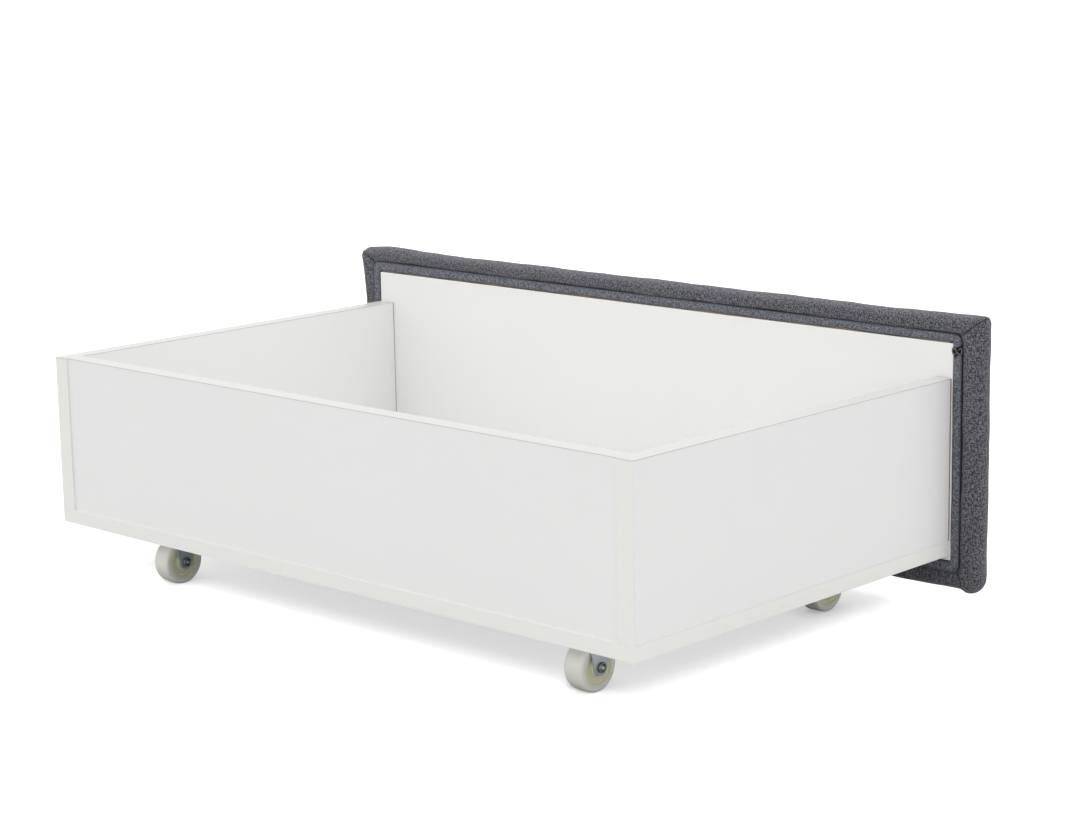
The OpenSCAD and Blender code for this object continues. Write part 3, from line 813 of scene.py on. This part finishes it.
def stuff(piece, held, most, pressure):
    """Swells a piece with Blender's cloth under pressure, without gravity, and keeps the result.
    Points in held stay put, none moves inwards, and none moves further than its entry in most."""
    group = piece.vertex_groups.new(name="held")
    group.add(np.flatnonzero(held).tolist(), 1.0, "REPLACE")
    cloth = piece.modifiers.new("Stuffing", "CLOTH")
    for key, value in CLOTH.items():
        setattr(cloth.settings, key, value)
    cloth.settings.uniform_pressure_force = pressure
    cloth.settings.effector_weights.gravity = 0
    cloth.collision_settings.use_collision = False
    cloth.point_cache.frame_start, cloth.point_cache.frame_end = 1, CLOTH_FRAMES
    count = len(piece.data.vertices)
    rest, moved, normals = (np.empty(count * 3, np.float32) for _ in range(3))
    piece.data.vertex_normals.foreach_get("vector", normals)
    piece.data.vertices.foreach_get("co", rest)
    for step in range(1, CLOTH_FRAMES + 1):
        bpy.context.scene.frame_set(step)
    graph = bpy.context.evaluated_depsgraph_get()
    piece.evaluated_get(graph).data.vertices.foreach_get("co", moved)
    piece.modifiers.remove(cloth)
    bpy.context.scene.frame_set(1)
    shift = (moved - rest).reshape(-1, 3)
    size = np.linalg.norm(shift, axis=1)
    if not np.isfinite(size).all():
        raise RuntimeError(f"{piece.name}: the cloth simulation did not settle")
    keep = np.minimum(1, most / np.maximum(size, 1e-9))
    keep = np.where((shift * normals.reshape(-1, 3)).sum(axis=1) > 0, keep, 0)
    piece.data.vertices.foreach_set("co", (rest.reshape(-1, 3) + shift * keep[:, None]).ravel())
    piece.data.update()
    piece.vertex_groups.clear()


def cover_grid(props, drawn_in=0.0):
    """The padded surface as one grid: a flat patch for the front, and loops from its edge round
    the padding to the groove. Returns the patch, the loops, and what the loops' functions give."""
    inset, y, scaled = cover_profile(props, drawn_in)
    rolled = np.arange(len(inset)) >= OUTLINE_ROW
    start = inset[0]
    towards = np.clip(inset / margins()[0], 0, 1)[:, None]
    corners = np.array(props.corners)[None, :]
    radius = np.where(rolled[:, None], corners + (props.welt_corner - corners) * towards,
                      corners * (1 - inset / start)[:, None])
    slide = props.slide * np.where(rolled, 1 - towards[:, 0], 1 - inset / start)
    flat, outward, reach, owner = inset_loops(inset, scaled, radius, slide)
    loops = np.empty(flat.shape[:2] + (3,))
    loops[..., [0, 2]] = flat
    loops[..., 1] = y[:, None]
    low, high = node_box("front_cover")
    x0, x1 = -high[0] + start, high[0] - start
    z0, z1 = low[2] + start, high[2] - start
    patch = np.empty((len(UP), len(ACROSS), 3))
    patch[..., 0] = x0 + (x1 - x0) * ACROSS[None, :]
    patch[..., 1] = y[0]
    patch[..., 2] = (z0 + (z1 - z0) * UP)[:, None]
    return patch, loops, outward, reach, owner, inset, y


def patch_border(rows, cols):
    """Indices of a patch's border, clockwise from its upper left corner as front_loops runs."""
    top = (rows - 1) * cols + np.arange(cols - 1)
    right = np.arange(rows - 1, 0, -1) * cols + cols - 1
    bottom = np.arange(cols - 1, 0, -1)
    left = np.arange(rows - 1) * cols
    return np.concatenate([top, right, bottom, left])


def sew_grid(patch, loops):
    """Points and quads of patch and loops together, the first loop being the patch's border."""
    rows, cols = patch.shape[:2]
    ring_rows, ring_cols = loops.shape[:2]
    border = patch_border(rows, cols)
    points = np.concatenate([patch.reshape(-1, 3), loops[1:].reshape(-1, 3)])
    rings = rows * cols + np.arange((ring_rows - 1) * ring_cols).reshape(-1, ring_cols)
    index = np.concatenate([border[None], rings])
    quads = index.ravel()[grid_quads(ring_rows, ring_cols, wrap=True)]
    return points, np.concatenate([grid_quads(rows, cols)[:, ::-1], quads]), index


def cloth_map(patch, loops, owner, inset, y):
    """The cloth laid flat, for each corner of each quad: x and z on the front, and from there on
    the distance along the section, so that threads run on round the edge and meet on a mitre."""
    run = distance_along(np.stack([inset, y], axis=1))[:, None]
    rows, cols = patch.shape[:2]
    quads = grid_quads(rows, cols)[:, ::-1]
    front = patch.reshape(-1, 3)[quads][..., [0, 2]]
    x_edge, z_low, z_high = patch[..., 0].max(), patch[..., 2].min(), patch[..., 2].max()
    parts, loop_cols = [], loops.shape[1]
    for side in range(4):
        mine = np.flatnonzero(owner == side)
        mine = np.append(mine, (mine[-1] + 1) % loop_cols)
        x, z = loops[:, mine, 0], loops[:, mine, 2]
        steps = np.hypot(np.diff(x, axis=1), np.diff(z, axis=1))
        walked = np.concatenate([0 * run, np.cumsum(steps, axis=1)], axis=1)
        middle = len(mine) // 2
        walked = (walked - walked[:, middle, None]) * (1 if side in (0, 3) else -1)
        x, z = x[:, middle, None] + walked, z[:, middle, None] + walked
        u, v = ((x, z_high + run + 0 * x), (x_edge + run + 0 * x, z),
                (x, z_low - run + 0 * x), (-x_edge - run + 0 * x, z))[side]
        flat = np.stack([u, v], axis=-1).reshape(-1, 2)
        parts.append(flat[grid_quads(len(loops), len(mine))].reshape(len(loops) - 1, -1, 4, 2))
    around = np.concatenate(parts, axis=1).reshape(-1, 4, 2)
    return np.concatenate([front, around])


def corner_shape(props, loops, outward, reach, owner, inset, y):
    """Shifts of the loops that the hand-made corners show, as an array of the loops' shape.

    Every corner has a fold along its mitre: a groove, and a lip on the upright side. The upper
    corner at +X also flares out below its fold. The lower corner at -X bags down, and swells
    to the rear over the corner of the core. The groove at the welt follows groove_field.
    """
    rear = (np.arange(len(inset)) > OUTLINE_ROW)[:, None]
    shift = np.zeros_like(loops)
    upright = (owner % 2 == 1)[None, :]
    behind = ease(y, y[0] + 3 * MM, y[0] + 12 * MM)[:, None]
    free = (1 - ease(np.arange(len(y)), len(y) - 9, len(y) - 5))[:, None]
    rise = np.sin(np.clip((y - y[0]) / (y.max() - y[0]), 0, 1) * math.pi / 2)[:, None]
    normal = np.zeros_like(loops)
    normal[..., [0, 2]] = outward * np.sqrt(np.clip(1 - rise[..., None] ** 2, 0, 1))
    normal[..., 1] = rise
    groove = -1.1 * MM * bump_at(reach, 0, 1.5 * MM)
    lip = np.where(upright, 0.75 * MM * ease(reach, 0, 1.6 * MM) * np.exp(-reach / (9 * MM)), 0)
    shift += normal * ((groove + lip) * behind * free)[..., None]
    x, z = loops[..., 0], loops[..., 2]
    right_top = (x > 0) & (z > loops[..., 2].mean())
    left_low = (x < 0) & (z < loops[..., 2].mean())
    rim = (1 - ease(inset, 2 * MM, 15 * MM))[:, None]
    ear = props.ear * bump_at(reach, 0, 36 * MM)
    nick = 1.1 * MM * bump_at(reach, 3.5 * MM, 1.6 * MM)
    shift[..., 0] += np.where(right_top & upright, ear - nick, 0) * rim
    shift[..., 0] += np.where(right_top & ~upright, props.ear * np.exp(-reach / (9 * MM)), 0) * rim
    crest = 1.5 * MM * bump_at(reach, 50 * MM, 42 * MM) - 2.2 * MM * np.exp(-reach / (13 * MM))
    shift[..., 2] += np.where(right_top & ~upright, crest, 0) * rim
    shift[..., 2] -= np.where(right_top & upright, 1.8 * MM * np.exp(-reach / (6 * MM)), 0) * rim
    sink = 0.9 * MM * ease(reach, 25 * MM, 110 * MM)
    shift[..., 2] -= np.where((owner == 0)[None, :], sink, 0) * rim
    shift[..., 0] += np.where((owner == 3)[None, :], 0.8 * MM, 0) * rim
    bag = np.where(upright, bump_at(reach, 0, 15 * MM), np.exp(-reach / (3 * MM)))
    lifted = ease(reach, 0, 6 * MM) * np.exp(-reach / (60 * MM)) * ~upright
    shift[..., 2] += np.where(left_low, 1.2 * MM * lifted - 1.6 * MM * bag, 0) * rim
    over_core = bump_at(inset, 7 * MM, 5 * MM)[:, None] * rear
    shift[..., 1] += np.where(left_low, 2.3 * MM * bump_at(reach, 0, 12 * MM), 0) * over_core
    inner = ease(inset, 9 * MM, 17 * MM)[:, None] * rear
    along_side, down = groove_field(x, z)
    shift[..., 0] += 3.3 * MM * along_side * inner
    shift[..., 2] += down * inner
    return shift


class DRAWER_OT_front(bpy.types.Operator):
    """Padded cover of the front with its mitred corners, and the foam and wadding inside it"""

    bl_idname = "drawer.front"
    bl_label = "Padded front"

    def execute(self, context):
        props = context.scene.drawer_front
        patch, loops, outward, reach, owner, inset, y = cover_grid(props)
        uv = cloth_map(patch, loops, owner, inset, y)
        walk = distance_along(loops[OUTLINE_ROW][:, [0, 2]])
        wave = ripple(walk, [(0.19, 0.35 * MM), (0.083, 0.28 * MM), (0.037, 0.16 * MM)], 3)[None, :]
        wide = ripple(walk, [(0.27, 0.5 * MM), (0.11, 0.35 * MM), (0.05, 0.25 * MM)], 8)[None, :]
        row = np.arange(len(inset))[:, None]
        margin = ease(inset[:, None] * (row > OUTLINE_ROW), 11 * MM, 18 * MM)
        rim = (1 - ease(inset, 1 * MM, 12 * MM))[:, None]
        lean = outward * (wave * rim * 0.8 + wide * margin)[..., None]
        loops[..., [0, 2]] += lean
        loops[..., 1] += 0.5 * wave * (row > OUTLINE_ROW + 3) * (1 - margin)
        loops += corner_shape(props, loops, outward, reach, owner, inset, y)
        points, quads, index = sew_grid(patch, loops)
        # Painted shade: crease_shade darkens the cloth into the groove at the welt (tail) and along
        # the fold of each mitre (fold).
        crease_shade = np.zeros(len(points))
        tail = ease(row, len(y) - 6.2, len(y) - 4.4)
        fold = 0.85 * bump_at(reach, 0, 1.0 * MM) * ease(y, y[0] + 6 * MM, y[0] + 14 * MM)[:, None]
        crease_shade[index[1:]] = np.maximum(tail, fold)[1:]
        held = np.zeros(len(points), bool)
        held[index[-TAIL_ROWS - 1:]] = True
        flat = patch[..., [0, 2]]
        off_edge = np.minimum(np.abs(flat - flat[0, 0]), np.abs(flat - flat[-1, -1])).min(axis=-1)
        most = np.full(len(points), props.edge_swell)
        most[:off_edge.size] += ((props.swell - props.edge_swell)
                                 * ease(off_edge, 0, props.crown)).ravel()
        finish = fabric_finish("cover_fabric", props.dark, props.light, props.pitch)
        cover = build_piece("padded_cover", points, quads, finish,
                            stands_for=["front_cover"], uv=uv,
                            marks={"crease_shade": crease_shade})
        stuff(cover, held, most, props.pressure)
        skin = cover.modifiers.new("Cloth thickness", "SOLIDIFY")
        skin.thickness, skin.offset = props.fabric, -1
        self.padding(props)
        return {"FINISHED"}

    def padding(self, props):
        """Foam in front of the core, and wadding round its edges, both just inside the cover."""
        patch, loops, _, _, _, inset, y = cover_grid(props, UNDER_COVER)
        core_low, core_high = node_box("front_core")
        front = int(np.searchsorted(y, core_low[1]))
        rim = loops[:front + 1].copy()
        rim[-1, :, 1] = core_low[1]
        points, quads, index = sew_grid(patch, rim)
        foam = plain_finish("foam", (0.72, 0.62, 0.33), (0.82, 0.74, 0.45), (0.85, 0.95),
                            broad=60.0, fine=1500.0, lift=(0.4, 0.3 * MM))
        build_piece("foam_pad", points, quads, foam, stands_for=["front_foam"],
                    caps=[index[-1]])
        outer = loops[front:-6].copy()
        outer[0, :, 1] = core_low[1]
        steps = np.array([0.55, 0.0, 0.0])
        edge = node_box("front_cover")[1][0] - core_high[0]
        inner_inset = np.array([inset[-7] - 1 * MM, edge, edge])
        inner_y = np.array([core_high[1] + 0.1 * MM, core_high[1] + 0.1 * MM, core_low[1]])
        flat = inset_loops(inner_inset, steps, np.array([[4], [2], [2]]) * MM)[0]
        inner = np.empty(flat.shape[:2] + (3,))
        inner[..., [0, 2]] = flat
        inner[..., 1] = inner_y[:, None]
        rows = np.concatenate([outer, inner])
        cols = rows.shape[1]
        quads = grid_quads(len(rows) + 1, cols, wrap=True) % (len(rows) * cols)
        wadding = plain_finish("wadding", (0.72, 0.72, 0.70), (0.85, 0.85, 0.83), (0.9, 1.0),
                               broad=90.0, fine=2500.0, lift=(0.6, 0.4 * MM))
        build_piece("wadding_roll", rows, quads, wadding, stands_for=["edge_wadding"])


class DRAWER_OT_welt(bpy.types.Operator):
    """Welt strip between the liner and the padded roll, and the end of its plastic core"""

    bl_idname = "drawer.welt"
    bl_label = "Welt strip"

    def execute(self, context):
        props = context.scene.drawer_front
        liner_low, liner_high = node_box("front_liner")
        welt_low, welt_high = node_box("welt_strip")
        gap = 1.2 * MM
        width = welt_high[0] - liner_high[0] - gap
        base_y, top_y = liner_low[1] + 1.0 * MM, liner_high[1] - 0.1 * MM
        angle = np.linspace(0, 2 * math.pi, 18, endpoint=False)
        side = np.sign(np.cos(angle)) * np.abs(np.cos(angle)) ** 0.7
        lift = np.sign(np.sin(angle)) * np.abs(np.sin(angle)) ** 0.75
        inset = width * (0.5 + 0.5 * side)
        corner = props.welt_corner - inset * 0.6
        flat, outward, reach, owner = front_loops(welt_high[0] - inset, welt_low[2] + inset,
                                                  welt_high[2] - inset, corner[:, None])
        walk = distance_along(flat[0])
        waves = [(0.16, 0.30 * MM), (0.061, 0.26 * MM), (0.027, 0.13 * MM)]
        wave = ripple(walk, waves, 21)[None, :]
        calm = 1 - 0.7 * bump_at(reach, 0, 10 * MM)
        inner = ease(inset / width, 0.4, 1.0)[:, None]
        flat = flat + outward * (-wave * calm * inner)[..., None]
        along_side, down = groove_field(flat[..., 0], flat[..., 1])
        outer = 0.5 - 0.5 * side[:, None]
        flat = flat + np.stack([(2.6 + 0.8 * outer) * MM * along_side, down * outer], axis=-1)
        swell = 1 + 0.22 * ripple(walk, [(0.12, 0.6), (0.045, 0.5)], 5)[None, :]
        rows = np.empty(flat.shape[:2] + (3,))
        rows[..., [0, 2]] = flat
        mid_y, half_y = (base_y + top_y) / 2, (top_y - base_y) / 2
        rows[..., 1] = mid_y + half_y * lift[:, None] * np.where(lift[:, None] > 0, swell, 1)
        run = width * angle / math.pi
        loop_low, loop_high = node_box("welt_end_loop")
        z = rows[:, :, 2].mean(axis=0)
        left = owner == 3
        above, below = left & (z > loop_high[2] + 0.3 * MM), left & (z < loop_low[2] - 0.1 * MM)
        order = np.concatenate([np.flatnonzero(part) for part in (above, ~left, below)])
        strip = rows[:, order]
        distance = distance_along(strip.mean(axis=0))
        tucked = [strip[:, k].mean(axis=0) for k in (0, -1)]
        first = tucked[0] + (strip[:, 0] - tucked[0]) * [0.6, 0.55, 0.6] - [0, 0, 0.8 * MM]
        last = tucked[1] + (strip[:, -1] - tucked[1]) * [0.75, 0.55, 0.75] + [0, 0, 0.9 * MM]
        strip = np.concatenate([first[:, None], strip, last[:, None]], axis=1).transpose(1, 0, 2)
        distance = np.concatenate([[-0.8 * MM], distance, [distance[-1] + 0.9 * MM]])
        count, around = strip.shape[:2]
        quads = grid_quads(count, around, wrap=True)
        spot = np.arange(around + 1)
        full_run = np.append(run, 2 * width)
        flat_uv = np.stack(np.meshgrid(distance, full_run, indexing="ij"), axis=-1)
        uv = flat_uv.reshape(-1, 2)[grid_quads(count, len(spot))]
        caps = [np.arange(around)[::-1], np.arange(around) + (count - 1) * around]
        # Painted shade along both edges of the welt, more on the edge at the groove than on the one
        # at the liner.
        rim = np.abs(side)[None, :] ** 6 * np.ones((count, 1))
        crease_shade = np.clip(rim * np.where(side > 0, 0.75, 0.95)[None, :], 0, 1)
        finish = fabric_finish("welt_fabric", props.welt_dark, props.welt_light, props.pitch * 0.85)
        build_piece("welt_strip_cloth", strip, quads, finish, stands_for=["welt_strip"],
                    uv=uv, marks={"crease_shade": crease_shade}, caps=caps)
        self.loop(loop_low, loop_high, top_y)
        return {"FINISHED"}

    def loop(self, low, high, top_y):
        """The plastic core of the strip, doubled back on itself: a figure of eight swept by a
        circle. Its middle line is (a sin t, b cos t, c sin 2t)."""
        centre = (low + high) / 2
        t = np.linspace(0, 2 * math.pi, 72, endpoint=False)
        wide, tall, lift, wire = 5.2 * MM, 2.9 * MM, 0.8 * MM, 1.1 * MM
        line = np.stack([wide * np.sin(t), lift * np.cos(t) + 0.6 * MM, tall * np.sin(2 * t)],
                        axis=-1)
        ahead = np.roll(line, -1, axis=0) - np.roll(line, 1, axis=0)
        ahead /= np.linalg.norm(ahead, axis=1)[:, None]
        up = np.cross(ahead, [0, 1, 0])
        up /= np.linalg.norm(up, axis=1)[:, None]
        side = np.cross(ahead, up)
        turn = np.linspace(0, 2 * math.pi, 12, endpoint=False)
        tube = (line[:, None] + wire * (np.cos(turn)[None, :, None] * up[:, None]
                                        + np.sin(turn)[None, :, None] * side[:, None]))
        tube = tube + [centre[0] + 3 * MM, top_y - 0.6 * MM, centre[2]]
        quads = grid_quads(len(t) + 1, len(turn), wrap=True) % (len(t) * len(turn))
        finish = plain_finish("black_plastic", (0.006, 0.006, 0.007), (0.014, 0.014, 0.016),
                              (0.05, 0.14), broad=300.0, fine=2500.0, lift=(0.05, 0.03 * MM),
                              Coat_Weight=1.0, Coat_Roughness=0.04)
        build_piece("welt_core_loop", tube, quads, finish, stands_for=["welt_end_loop"])


class DRAWER_OT_casters(bpy.types.Operator):
    """Four fixed casters: nylon wheels, pressed forks and riveted axles"""

    bl_idname = "drawer.casters"
    bl_label = "Casters"

    def execute(self, context):
        props = context.scene.drawer_casters
        # The nylon's shade factor darkens and yellows the wheel faces: painted shade, the faces
        # lying under the fork.
        nylon = plain_finish("nylon", shade(props.nylon, 0.93), shade(props.nylon, 1.05),
                             (0.28, 0.42), broad=70.0, fine=1600.0, lift=(0.08, 0.06 * MM),
                             scuffs=(160.0, 0.35, shade(props.nylon, 0.62)),
                             shade_factor=(0.89, 0.88, 0.69), Subsurface_Weight=0.35,
                             Subsurface_Scale=4 * MM, Coat_Weight=0.4, Coat_Roughness=0.12)
        zinc = plain_finish("zinc_sheet", shade(props.zinc, 0.85), shade(props.zinc, 1.15),
                            (0.32, 0.5), broad=140.0, fine=1800.0, lift=(0.12, 0.05 * MM),
                            scuffs=(260.0, 0.4, shade(props.zinc, 0.6)), Metallic=1.0)
        # The rivet steel's shade factor darkens each head round its bright centre: painted shade of
        # the ring-shaped hollow.
        rivet = plain_finish("rivet_steel", (0.66, 0.66, 0.65), (0.82, 0.82, 0.80), (0.22, 0.36),
                             broad=300.0, fine=2500.0, lift=(0.2, 0.05 * MM),
                             shade_factor=(0.2, 0.2, 0.2), Metallic=1.0)
        for corner in CORNERS:
            self.wheel(f"{corner}_wheel", nylon)
            self.fork(f"{corner}_fork", props, zinc)
            self.axle(f"{corner}_axle", props, rivet)
        return {"FINISHED"}

    def wheel(self, name, finish):
        """Tread with round shoulders, faces dished in two steps, and a raised hub with a bore."""
        low, high = node_box(name)
        centre, radius, half = (low + high) / 2, (high[2] - low[2]) / 2, (high[0] - low[0]) / 2
        face, bore, hub = half - 0.5 * MM, 3.05 * MM, 8.64 * MM
        step, dish = face - 1.2 * MM, face - 2.4 * MM
        corners = [(bore, half), (hub, half), (hub + 0.3 * MM, dish), (13.1 * MM, dish),
                   (13.4 * MM, step), (15.8 * MM, step), (16.2 * MM, face),
                   (radius - 0.02 * MM, face), (radius, 0.35 * MM), (radius - 0.12 * MM, 0)]
        radii = [0.3, 0.6, 0.4, 0.4, 0.4, 0.4, 0.3, 8.0, 0.1, 0.1]
        mirrored = [(r, -x) for r, x in corners[:-1]][::-1]
        profile = soft_profile(corners + mirrored, np.array(radii + radii[:-1][::-1]) * MM, steps=6)
        points, quads, _ = lathe(profile, centre, turns=96)
        # face_mark: where the nylon's painted shade lies, on the faces inside the tread.
        face_mark = 1 - ease(np.hypot(*(points - centre).T[1:]), 17.3 * MM, 20.3 * MM)
        build_piece(f"{name}_nylon", points, quads, finish, body=name, stands_for=[name],
                    marks={"mark": face_mark})

    def fork(self, name, props, finish):
        """A plate with round corners and two legs. A leg's outline is a circle about the axle and
        the two lines that touch it and spread to the plate."""
        low, high = node_box(name)
        axle = node_box(name.replace("fork", "axle"))
        axle_y, axle_z = ((axle[0] + axle[1]) / 2)[1:]
        centre = (low + high) / 2
        outline, outward = rounded_rectangle(high[0] - low[0], high[1] - low[1], 5 * MM, steps=8)
        plate = rounded_plate(outline + centre[:2], outward, high[2] - props.sheet, high[2],
                              props.steel_round, 2)
        rise = high[2] - props.sheet * 0.5 - axle_z
        far_point = math.hypot(props.leg_half, rise)
        touch = math.atan2(rise, props.leg_half) - math.acos(props.tip / far_point)
        angle = np.linspace(touch, -math.pi - touch, 29)
        ring = np.stack([np.cos(angle), np.sin(angle)], axis=-1)
        top = np.array([[-props.leg_half, rise], [-props.leg_half, rise], [props.leg_half, rise],
                        [props.leg_half, rise]])
        ways = np.stack([ring[-1], [0, 1], [0, 1], ring[0]])
        line = np.concatenate([ring * props.tip, top]) + [axle_y, axle_z]
        facing = np.concatenate([ring, ways])
        shells = [plate[:4]]
        leg_face = (axle[1][0] - axle[0][0]) / 2 - props.rivet_head
        for side in (-1, 1):
            ends = [centre[0] + side * leg_face, centre[0] + side * (leg_face - props.sheet)]
            leg = rounded_plate(line, facing, min(ends), max(ends), props.steel_round, 0)
            shells.append(leg[:4])
        points, normals, quads, caps = join_shells(shells)
        build_piece(f"{name}_steel", points, quads, finish, stands_for=[name],
                    normals=normals, caps=caps)

    def axle(self, name, props, finish):
        """A pin riveted over at both ends, each head with a ring-shaped hollow."""
        low, high = node_box(name)
        centre, half, head = (low + high) / 2, (high[0] - low[0]) / 2, (high[2] - low[2]) / 2
        shaft, hollow, under = 3 * MM, half - 1.2 * MM, half - props.rivet_head
        corners = [(0.5 * MM, half - 0.4 * MM), (shaft - 1.6 * MM, half),
                   (shaft - 1.2 * MM, hollow), (head - 1.4 * MM, hollow), (head - 1 * MM, half),
                   (head, half - 0.8 * MM), (head, under), (shaft, under)]
        full = corners + [(r, -x) for r, x in corners[::-1]]
        soft = soft_profile(full, np.full(len(full), 0.35 * MM), steps=3)
        points, quads, caps = lathe(soft[2:-1], centre, turns=40, closed=False)
        from_axis = np.hypot(*(points - centre).T[1:])
        # Painted shade of the hollow in each head: darker away from the centre, less so on a narrow
        # ring 4.4 mm out.
        rim = 1 - 0.6 * bump_at(from_axis, 4.4 * MM, 0.4 * MM)
        ring = ease(from_axis, 1.6 * MM, 2.2 * MM) * rim
        build_piece(f"{name}_rivet", points, quads, finish, stands_for=[name],
                    marks={"mark": ring}, caps=caps)


class DRAWER_OT_fittings(bpy.types.Operator):
    """Finishes of the core, screws, staples, cam locks, bolts and dowels"""

    bl_idname = "drawer.fittings"
    bl_label = "Fittings"

    def execute(self, context):
        zinc = plain_finish("zinc_fittings", (0.52, 0.54, 0.56), (0.68, 0.69, 0.70), (0.25, 0.42),
                            broad=220.0, fine=2200.0, lift=(0.1, 0.04 * MM),
                            scuffs=(300.0, 0.4, (0.34, 0.35, 0.36)), Metallic=1.0)
        chips = plain_finish("raw_chipboard", (0.42, 0.28, 0.14), (0.66, 0.50, 0.30), (0.75, 0.9),
                             broad=260.0, fine=900.0, lift=(0.5, 0.2 * MM))
        beech = plain_finish("beech", (0.58, 0.38, 0.20), (0.72, 0.52, 0.31), (0.55, 0.7),
                             broad=150.0, fine=1200.0, lift=(0.3, 0.1 * MM))
        refinish("front_core", chips)
        refinish("back_dowels", beech)
        for name in ("front_screws", "bottom_screws", "cam_locks", "cam_bolts", "cover_staples",
                     "caster_screws"):
            refinish(name, zinc)
        return {"FINISHED"}


class DRAWER_OT_stage(bpy.types.Operator):
    """Pale floor, white surroundings, one soft lamp overhead and the camera"""

    bl_idname = "drawer.stage"
    bl_label = "Stage"

    def execute(self, context):
        scene, props = context.scene, context.scene.drawer_stage
        floor = self.floor(scene, props)
        world = bpy.data.worlds.new("white surroundings")
        world.use_nodes = True
        sky = next(n for n in world.node_tree.nodes if n.type == "BACKGROUND")
        sky.inputs["Color"].default_value = (1, 1, 1, 1)
        sky.inputs["Strength"].default_value = props.sky
        scene.world = world
        self.lights(scene, props, floor)
        self.camera(scene, props)
        scene.view_settings.view_transform = "Standard"
        return {"FINISHED"}

    def floor(self, scene, props):
        """A flat floor that adds a glow for the camera alone, less of it where things stand: a
        painted contact shadow.
        """
        lines = 25
        edge = np.linspace(-props.floor_half, props.floor_half, lines)
        points = np.stack(np.meshgrid(edge, edge, [0.0], indexing="ij"), axis=-1).reshape(-1, 3)
        mesh = bpy.data.meshes.new("floor")
        mesh.from_pydata(points.tolist(), [], grid_quads(lines, lines)[:, ::-1].tolist())
        pale = plain_finish("pale_floor", (0.54, 0.54, 0.54), (0.56, 0.56, 0.56), (0.85, 0.9),
                            broad=2.0, fine=40.0, lift=(0.0, 0.01 * MM), Specular_IOR_Level=0.0)
        mesh.materials.append(pale)
        tree = pale.node_tree
        shader = next(n for n in tree.nodes if n.type == "BSDF_PRINCIPLED")
        seen = tree.nodes.new("ShaderNodeLightPath").outputs["Is Camera Ray"]
        shader.inputs["Emission Color"].default_value = (1, 1, 1, 1)
        # Painted contact shadow: ambient occlusion within 25 mm cuts back the floor's glow.
        near = put(tree, "ShaderNodeAmbientOcclusion", None, Distance=25 * MM).outputs["AO"]
        glow = calc(tree, "MULTIPLY", spread(tree, near, 0.45, 1.0), props.floor_glow)
        tree.links.new(calc(tree, "MULTIPLY", seen, glow), shader.inputs["Emission Strength"])
        floor = bpy.data.objects.new("floor", mesh)
        scene.collection.objects.link(floor)
        return floor

    def lights(self, scene, props, floor):
        """A soft lamp overhead, and a wide sun that only the floor receives."""
        lamp = bpy.data.lights.new("overhead lamp", "AREA")
        lamp.shape, lamp.energy = "RECTANGLE", props.lamp
        lamp.size = lamp.size_y = props.lamp_size
        light = bpy.data.objects.new("overhead lamp", lamp)
        light.location = props.lamp_place
        scene.collection.objects.link(light)
        sun = bpy.data.lights.new("floor sun", "SUN")
        sun.energy, sun.angle = props.floor_sun, props.sun_width
        sun.cycles.max_bounces = 0
        low_sun = bpy.data.objects.new("floor sun", sun)
        low_sun.rotation_euler = Vector(props.sun_from).to_track_quat("Z", "Y").to_euler()
        scene.collection.objects.link(low_sun)
        lit = bpy.data.collections.new("lit by the floor sun")
        lit.objects.link(floor)
        low_sun.light_linking.receiver_collection = lit

    def camera(self, scene, props):
        """The camera, turned by azimuth and elevation, then rolled about its line of sight."""
        camera = bpy.data.cameras.new("camera")
        camera.lens, camera.sensor_width = props.lens, 36
        camera.clip_start, camera.clip_end = 0.05, 100
        eye = bpy.data.objects.new("camera", camera)
        scene.collection.objects.link(eye)
        a, e = props.azimuth, props.elevation
        back = Vector((math.sin(a) * math.cos(e), -math.cos(a) * math.cos(e), math.sin(e)))
        right = (-back).cross(Vector((0, 0, 1))).normalized()
        up = right.cross(-back)
        turned = math.cos(props.roll) * right + math.sin(props.roll) * up
        top = -math.sin(props.roll) * right + math.cos(props.roll) * up
        turn = Matrix((turned, top, back)).transposed().to_4x4()
        eye.matrix_world = Matrix.Translation(props.camera_place) @ turn
        scene.camera = eye


class DRAWER_PT_sidebar(bpy.types.Panel):
    """Lists the drawer's pieces"""

    bl_idname = "DRAWER_PT_sidebar"
    bl_label = "Under-bed drawer"
    bl_space_type = "VIEW_3D"
    bl_region_type = "UI"
    bl_category = "Drawer"

    def draw(self, context):
        for operator in OPERATORS:
            self.layout.operator(operator.bl_idname)
        for key in SETTINGS:
            props = getattr(context.scene, key)
            for name in props.__annotations__:
                self.layout.prop(props, name)


SETTINGS = {
    "drawer_boards": DrawerBoards,
    "drawer_front": DrawerFront,
    "drawer_casters": DrawerCasters,
    "drawer_stage": DrawerStage,
}
OPERATORS = (DRAWER_OT_boards, DRAWER_OT_edging, DRAWER_OT_liner, DRAWER_OT_front, DRAWER_OT_welt,
             DRAWER_OT_casters, DRAWER_OT_fittings, DRAWER_OT_stage)


def register():
    for kind in (*SETTINGS.values(), *OPERATORS, DRAWER_PT_sidebar):
        bpy.utils.register_class(kind)
    for key, kind in SETTINGS.items():
        setattr(bpy.types.Scene, key, PointerProperty(type=kind))


def unregister():
    for key in SETTINGS:
        delattr(bpy.types.Scene, key)
    for kind in reversed((*SETTINGS.values(), *OPERATORS, DRAWER_PT_sidebar)):
        bpy.utils.unregister_class(kind)


def main():
    register()
    for operator in OPERATORS:
        group, name = operator.bl_idname.split(".")
        getattr(getattr(bpy.ops, group), name)()
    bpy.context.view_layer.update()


if __name__ == "__main__":
    main()
